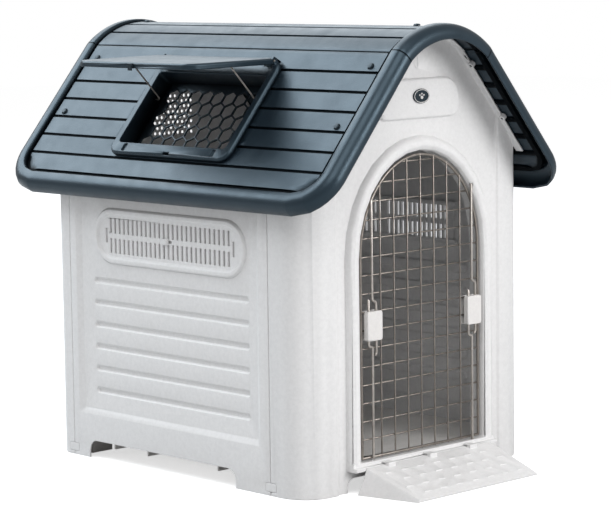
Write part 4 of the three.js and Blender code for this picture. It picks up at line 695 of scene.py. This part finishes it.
def mm(x, y, z):
    return Vector((x, y, z)) * MM


def edge_top(x):
    """The height of the door's edge over a place across it."""
    return ARCH_SPRING + EDGE_RISE * math.sqrt(max(0, 1 - (x / EDGE_HALF) ** 2))


def edge_side(z):
    """Half of the door's width at a height."""
    if z <= ARCH_SPRING:
        return EDGE_HALF
    return EDGE_HALF * math.sqrt(max(0, 1 - ((z - ARCH_SPRING) / EDGE_RISE) ** 2))


def door_wires():
    arc = [mm(EDGE_HALF * math.cos(turn), GRID_Y, ARCH_SPRING + EDGE_RISE * math.sin(turn))
           for turn in (math.pi * k / EDGE_STEPS for k in range(EDGE_STEPS + 1))]
    feet = [mm(EDGE_HALF, GRID_Y, DOOR_FOOT), mm(-EDGE_HALF, GRID_Y, DOOR_FOOT)]
    routes = [([feet[0]] + arc + [feet[1]], EDGE_WIRE * MM), ([feet[1], feet[0]], EDGE_WIRE * MM)]
    for i in range(-UPRIGHTS_EACH_SIDE, UPRIGHTS_EACH_SIDE + 1):
        x, y = i * UPRIGHT_PITCH, GRID_Y - GRID_LAYER
        routes.append(([mm(x, y, DOOR_FOOT - 1), mm(x, y, edge_top(x) + 1)], GRID_WIRE * MM))
    z = DOOR_FOOT + RUNG_PITCH
    while edge_side(z) > UPRIGHT_PITCH * SHORTEST_RUNG and z < ARCH_SPRING + EDGE_RISE:
        x, y = edge_side(z), GRID_Y + GRID_LAYER
        routes.append(([mm(-x, y, z), mm(x, y, z)], GRID_WIRE * MM))
        z += RUNG_PITCH
    return routes


def rod(name, route):
    """A latch rod through places given as (x, z)."""
    places = rounded_route([mm(x, ROD_Y, z) for x, z in route], ROD_BEND * MM)
    tubes(f"{name}_wire", [(places, ROD_RADIUS * MM)], rod_metal, name, name)


def coil(name):
    """A latch spring inside the box of its CAD node."""
    low, high = (Vector(corner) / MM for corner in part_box(name))
    middle = (low + high) / 2
    count = COIL_TURNS * COIL_STEPS
    route = []
    for k in range(count + 1):
        turn = 2 * math.pi * k / COIL_STEPS
        route.append(mm(middle.x + COIL_RADIUS * math.cos(turn),
                        middle.y + COIL_RADIUS * math.sin(turn),
                        low.z + COIL_MARGIN + (high.z - low.z - 2 * COIL_MARGIN) * k / count))
    tubes(f"{name}_coil", [(route, COIL_WIRE * MM)], rod_metal, "door", name,
          COIL_SIDES)


tubes("door_wires", door_wires(), wire_metal, "door", "door_mesh")
for side, x in (("left", -ROD_X), ("right", ROD_X)):
    low, high = (corner[2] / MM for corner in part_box(f"{side}_upper_rod"))
    bend = low + UPPER_BEND
    rod(f"{side}_upper_rod", [(x, high), (x, bend - 1), (x + JOG, bend - 3), (x + JOG, low + 3),
                              (x + JOG - 2, low)])
    low, high = (corner[2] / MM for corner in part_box(f"{side}_lower_rod"))
    bend = high - LOWER_BEND
    rod(f"{side}_lower_rod", [(x, low), (x, bend - 2), (x - 1, bend), (x - JOG, bend + 1),
                              (x - JOG, high)])
    for end in ("upper", "lower"):
        coil(f"{side}_{end}_spring")
for name in ("stay_front", "stay_rear"):
    softened(name, rod_metal, name, 0.5, 2)

# ------------------------------------------------------------------ floor, light and camera

WHITE = (1, 1, 1, 1)
FLOOR_SEEN = (0.8, 0.8, 0.8, 1)
FLOOR_BOUNCE = (0.55, 0.55, 0.55, 1)  # what the floor throws back at the house
FLOOR_HALF = 9.0
FLOOR_GLOW = 0.62  # added to the floor for the camera only, so that it meets the white backdrop
AMBIENT = 0.46
COOL_LIGHT = (0.86, 0.94, 1.0)

CAMERA_AZIMUTH = math.radians(-43.66)
CAMERA_ELEVATION = math.radians(6.55)
CAMERA_ROLL = math.radians(-0.824)
CAMERA_DISTANCE = 3.7148
CAMERA_AIM = Vector((0, 0, 0.330))
FOCAL_PIXELS = 2446.4
MIDDLE_PIXEL = (283.4, 237.2)
IMAGE = (611, 526)
SENSOR = 36


def shader(tree, kind, colour, strength=None):
    node = tree.nodes.new(kind)
    node.inputs["Color"].default_value = colour
    if strength is not None:
        node.inputs["Strength"].default_value = strength
    return node.outputs[0]


def camera_switch(tree, others, camera, target):
    """One shader for what the camera sees directly, and another for all other rays."""
    switch = tree.nodes.new("ShaderNodeMixShader")
    tree.links.new(tree.nodes.new("ShaderNodeLightPath").outputs["Is Camera Ray"], switch.inputs[0])
    tree.links.new(others, switch.inputs[1])
    tree.links.new(camera, switch.inputs[2])
    tree.links.new(switch.outputs[0], target)


def stage_floor():
    mesh = bpy.data.meshes.new("ground")
    outline = [(x * FLOOR_HALF, y * FLOOR_HALF, 0) for x, y in ((-1, -1), (1, -1), (1, 1), (-1, 1))]
    mesh.from_pydata(outline, [], [(0, 1, 2, 3)])
    ground = bpy.data.objects.new("ground", mesh)
    bpy.context.scene.collection.objects.link(ground)
    material = bpy.data.materials.new("ground_white")
    material.use_nodes = True
    tree = material.node_tree
    tree.nodes.clear()
    output = tree.nodes.new("ShaderNodeOutputMaterial")
    glow = tree.nodes.new("ShaderNodeAddShader")
    tree.links.new(shader(tree, "ShaderNodeBsdfDiffuse", FLOOR_SEEN), glow.inputs[0])
    tree.links.new(shader(tree, "ShaderNodeEmission", WHITE, FLOOR_GLOW), glow.inputs[1])
    plain = shader(tree, "ShaderNodeBsdfDiffuse", FLOOR_BOUNCE)
    camera_switch(tree, plain, glow.outputs[0], output.inputs["Surface"])
    mesh.materials.append(material)


def stage_world():
    world = bpy.data.worlds.new("studio")
    world.use_nodes = True
    tree = world.node_tree
    tree.nodes.clear()
    output = tree.nodes.new("ShaderNodeOutputWorld")
    ambient = shader(tree, "ShaderNodeBackground", WHITE, AMBIENT)
    backdrop = shader(tree, "ShaderNodeBackground", WHITE, 1.0)
    camera_switch(tree, ambient, backdrop, output.inputs["Surface"])
    bpy.context.scene.world = world


def area(name, place, aim, size, power, colour=(1, 1, 1)):
    """A round soft light; place, aim and size in metres, power in watts."""
    light = bpy.data.lights.new(name, "AREA")
    light.shape = "DISK"
    light.size = size
    light.energy = power
    light.color = colour
    thing = bpy.data.objects.new(name, light)
    thing.location = place
    thing.rotation_euler = (Vector(aim) - Vector(place)).to_track_quat("-Z", "Y").to_euler()
    thing.visible_camera = False
    bpy.context.scene.collection.objects.link(thing)


def stage_camera():
    azimuth, elevation, roll = CAMERA_AZIMUTH, CAMERA_ELEVATION, CAMERA_ROLL
    back = Vector((math.sin(azimuth) * math.cos(elevation),
                   -math.cos(azimuth) * math.cos(elevation), math.sin(elevation)))
    level = Vector((math.cos(azimuth), math.sin(azimuth), 0))
    upright = back.cross(level)
    right = level * math.cos(roll) + upright * math.sin(roll)
    up = upright * math.cos(roll) - level * math.sin(roll)
    data = bpy.data.cameras.new("camera")
    data.sensor_fit = "HORIZONTAL"
    data.sensor_width = SENSOR
    data.lens = SENSOR * FOCAL_PIXELS / IMAGE[0]
    data.shift_x = (IMAGE[0] / 2 - MIDDLE_PIXEL[0]) / IMAGE[0]
    data.shift_y = (MIDDLE_PIXEL[1] - IMAGE[1] / 2) / IMAGE[0]
    thing = bpy.data.objects.new("camera", data)
    bpy.context.scene.collection.objects.link(thing)
    matrix = Matrix((right, up, back)).transposed().to_4x4()
    matrix.translation = CAMERA_AIM + back * CAMERA_DISTANCE
    thing.matrix_world = matrix
    bpy.context.scene.camera = thing


stage_floor()
stage_world()
area("overhead", (-1.3, -1.4, 3.0), (0, 0, 0.4), 2.4, 44)
area("front_fill", (1.0, -3.5, 1.5), (0, 0, 0.3), 1.8, 68)
area("back_sheen", (-0.9, 2.3, 2.7), (-0.2, 0, 0.55), 3.0, 100, COOL_LIGHT)
area("rear_sheen", (2.0, 2.4, 2.7), (-0.1, 0, 0.6), 3.0, 44, COOL_LIGHT)
stage_camera()
bpy.context.scene.view_settings.view_transform = "Standard"
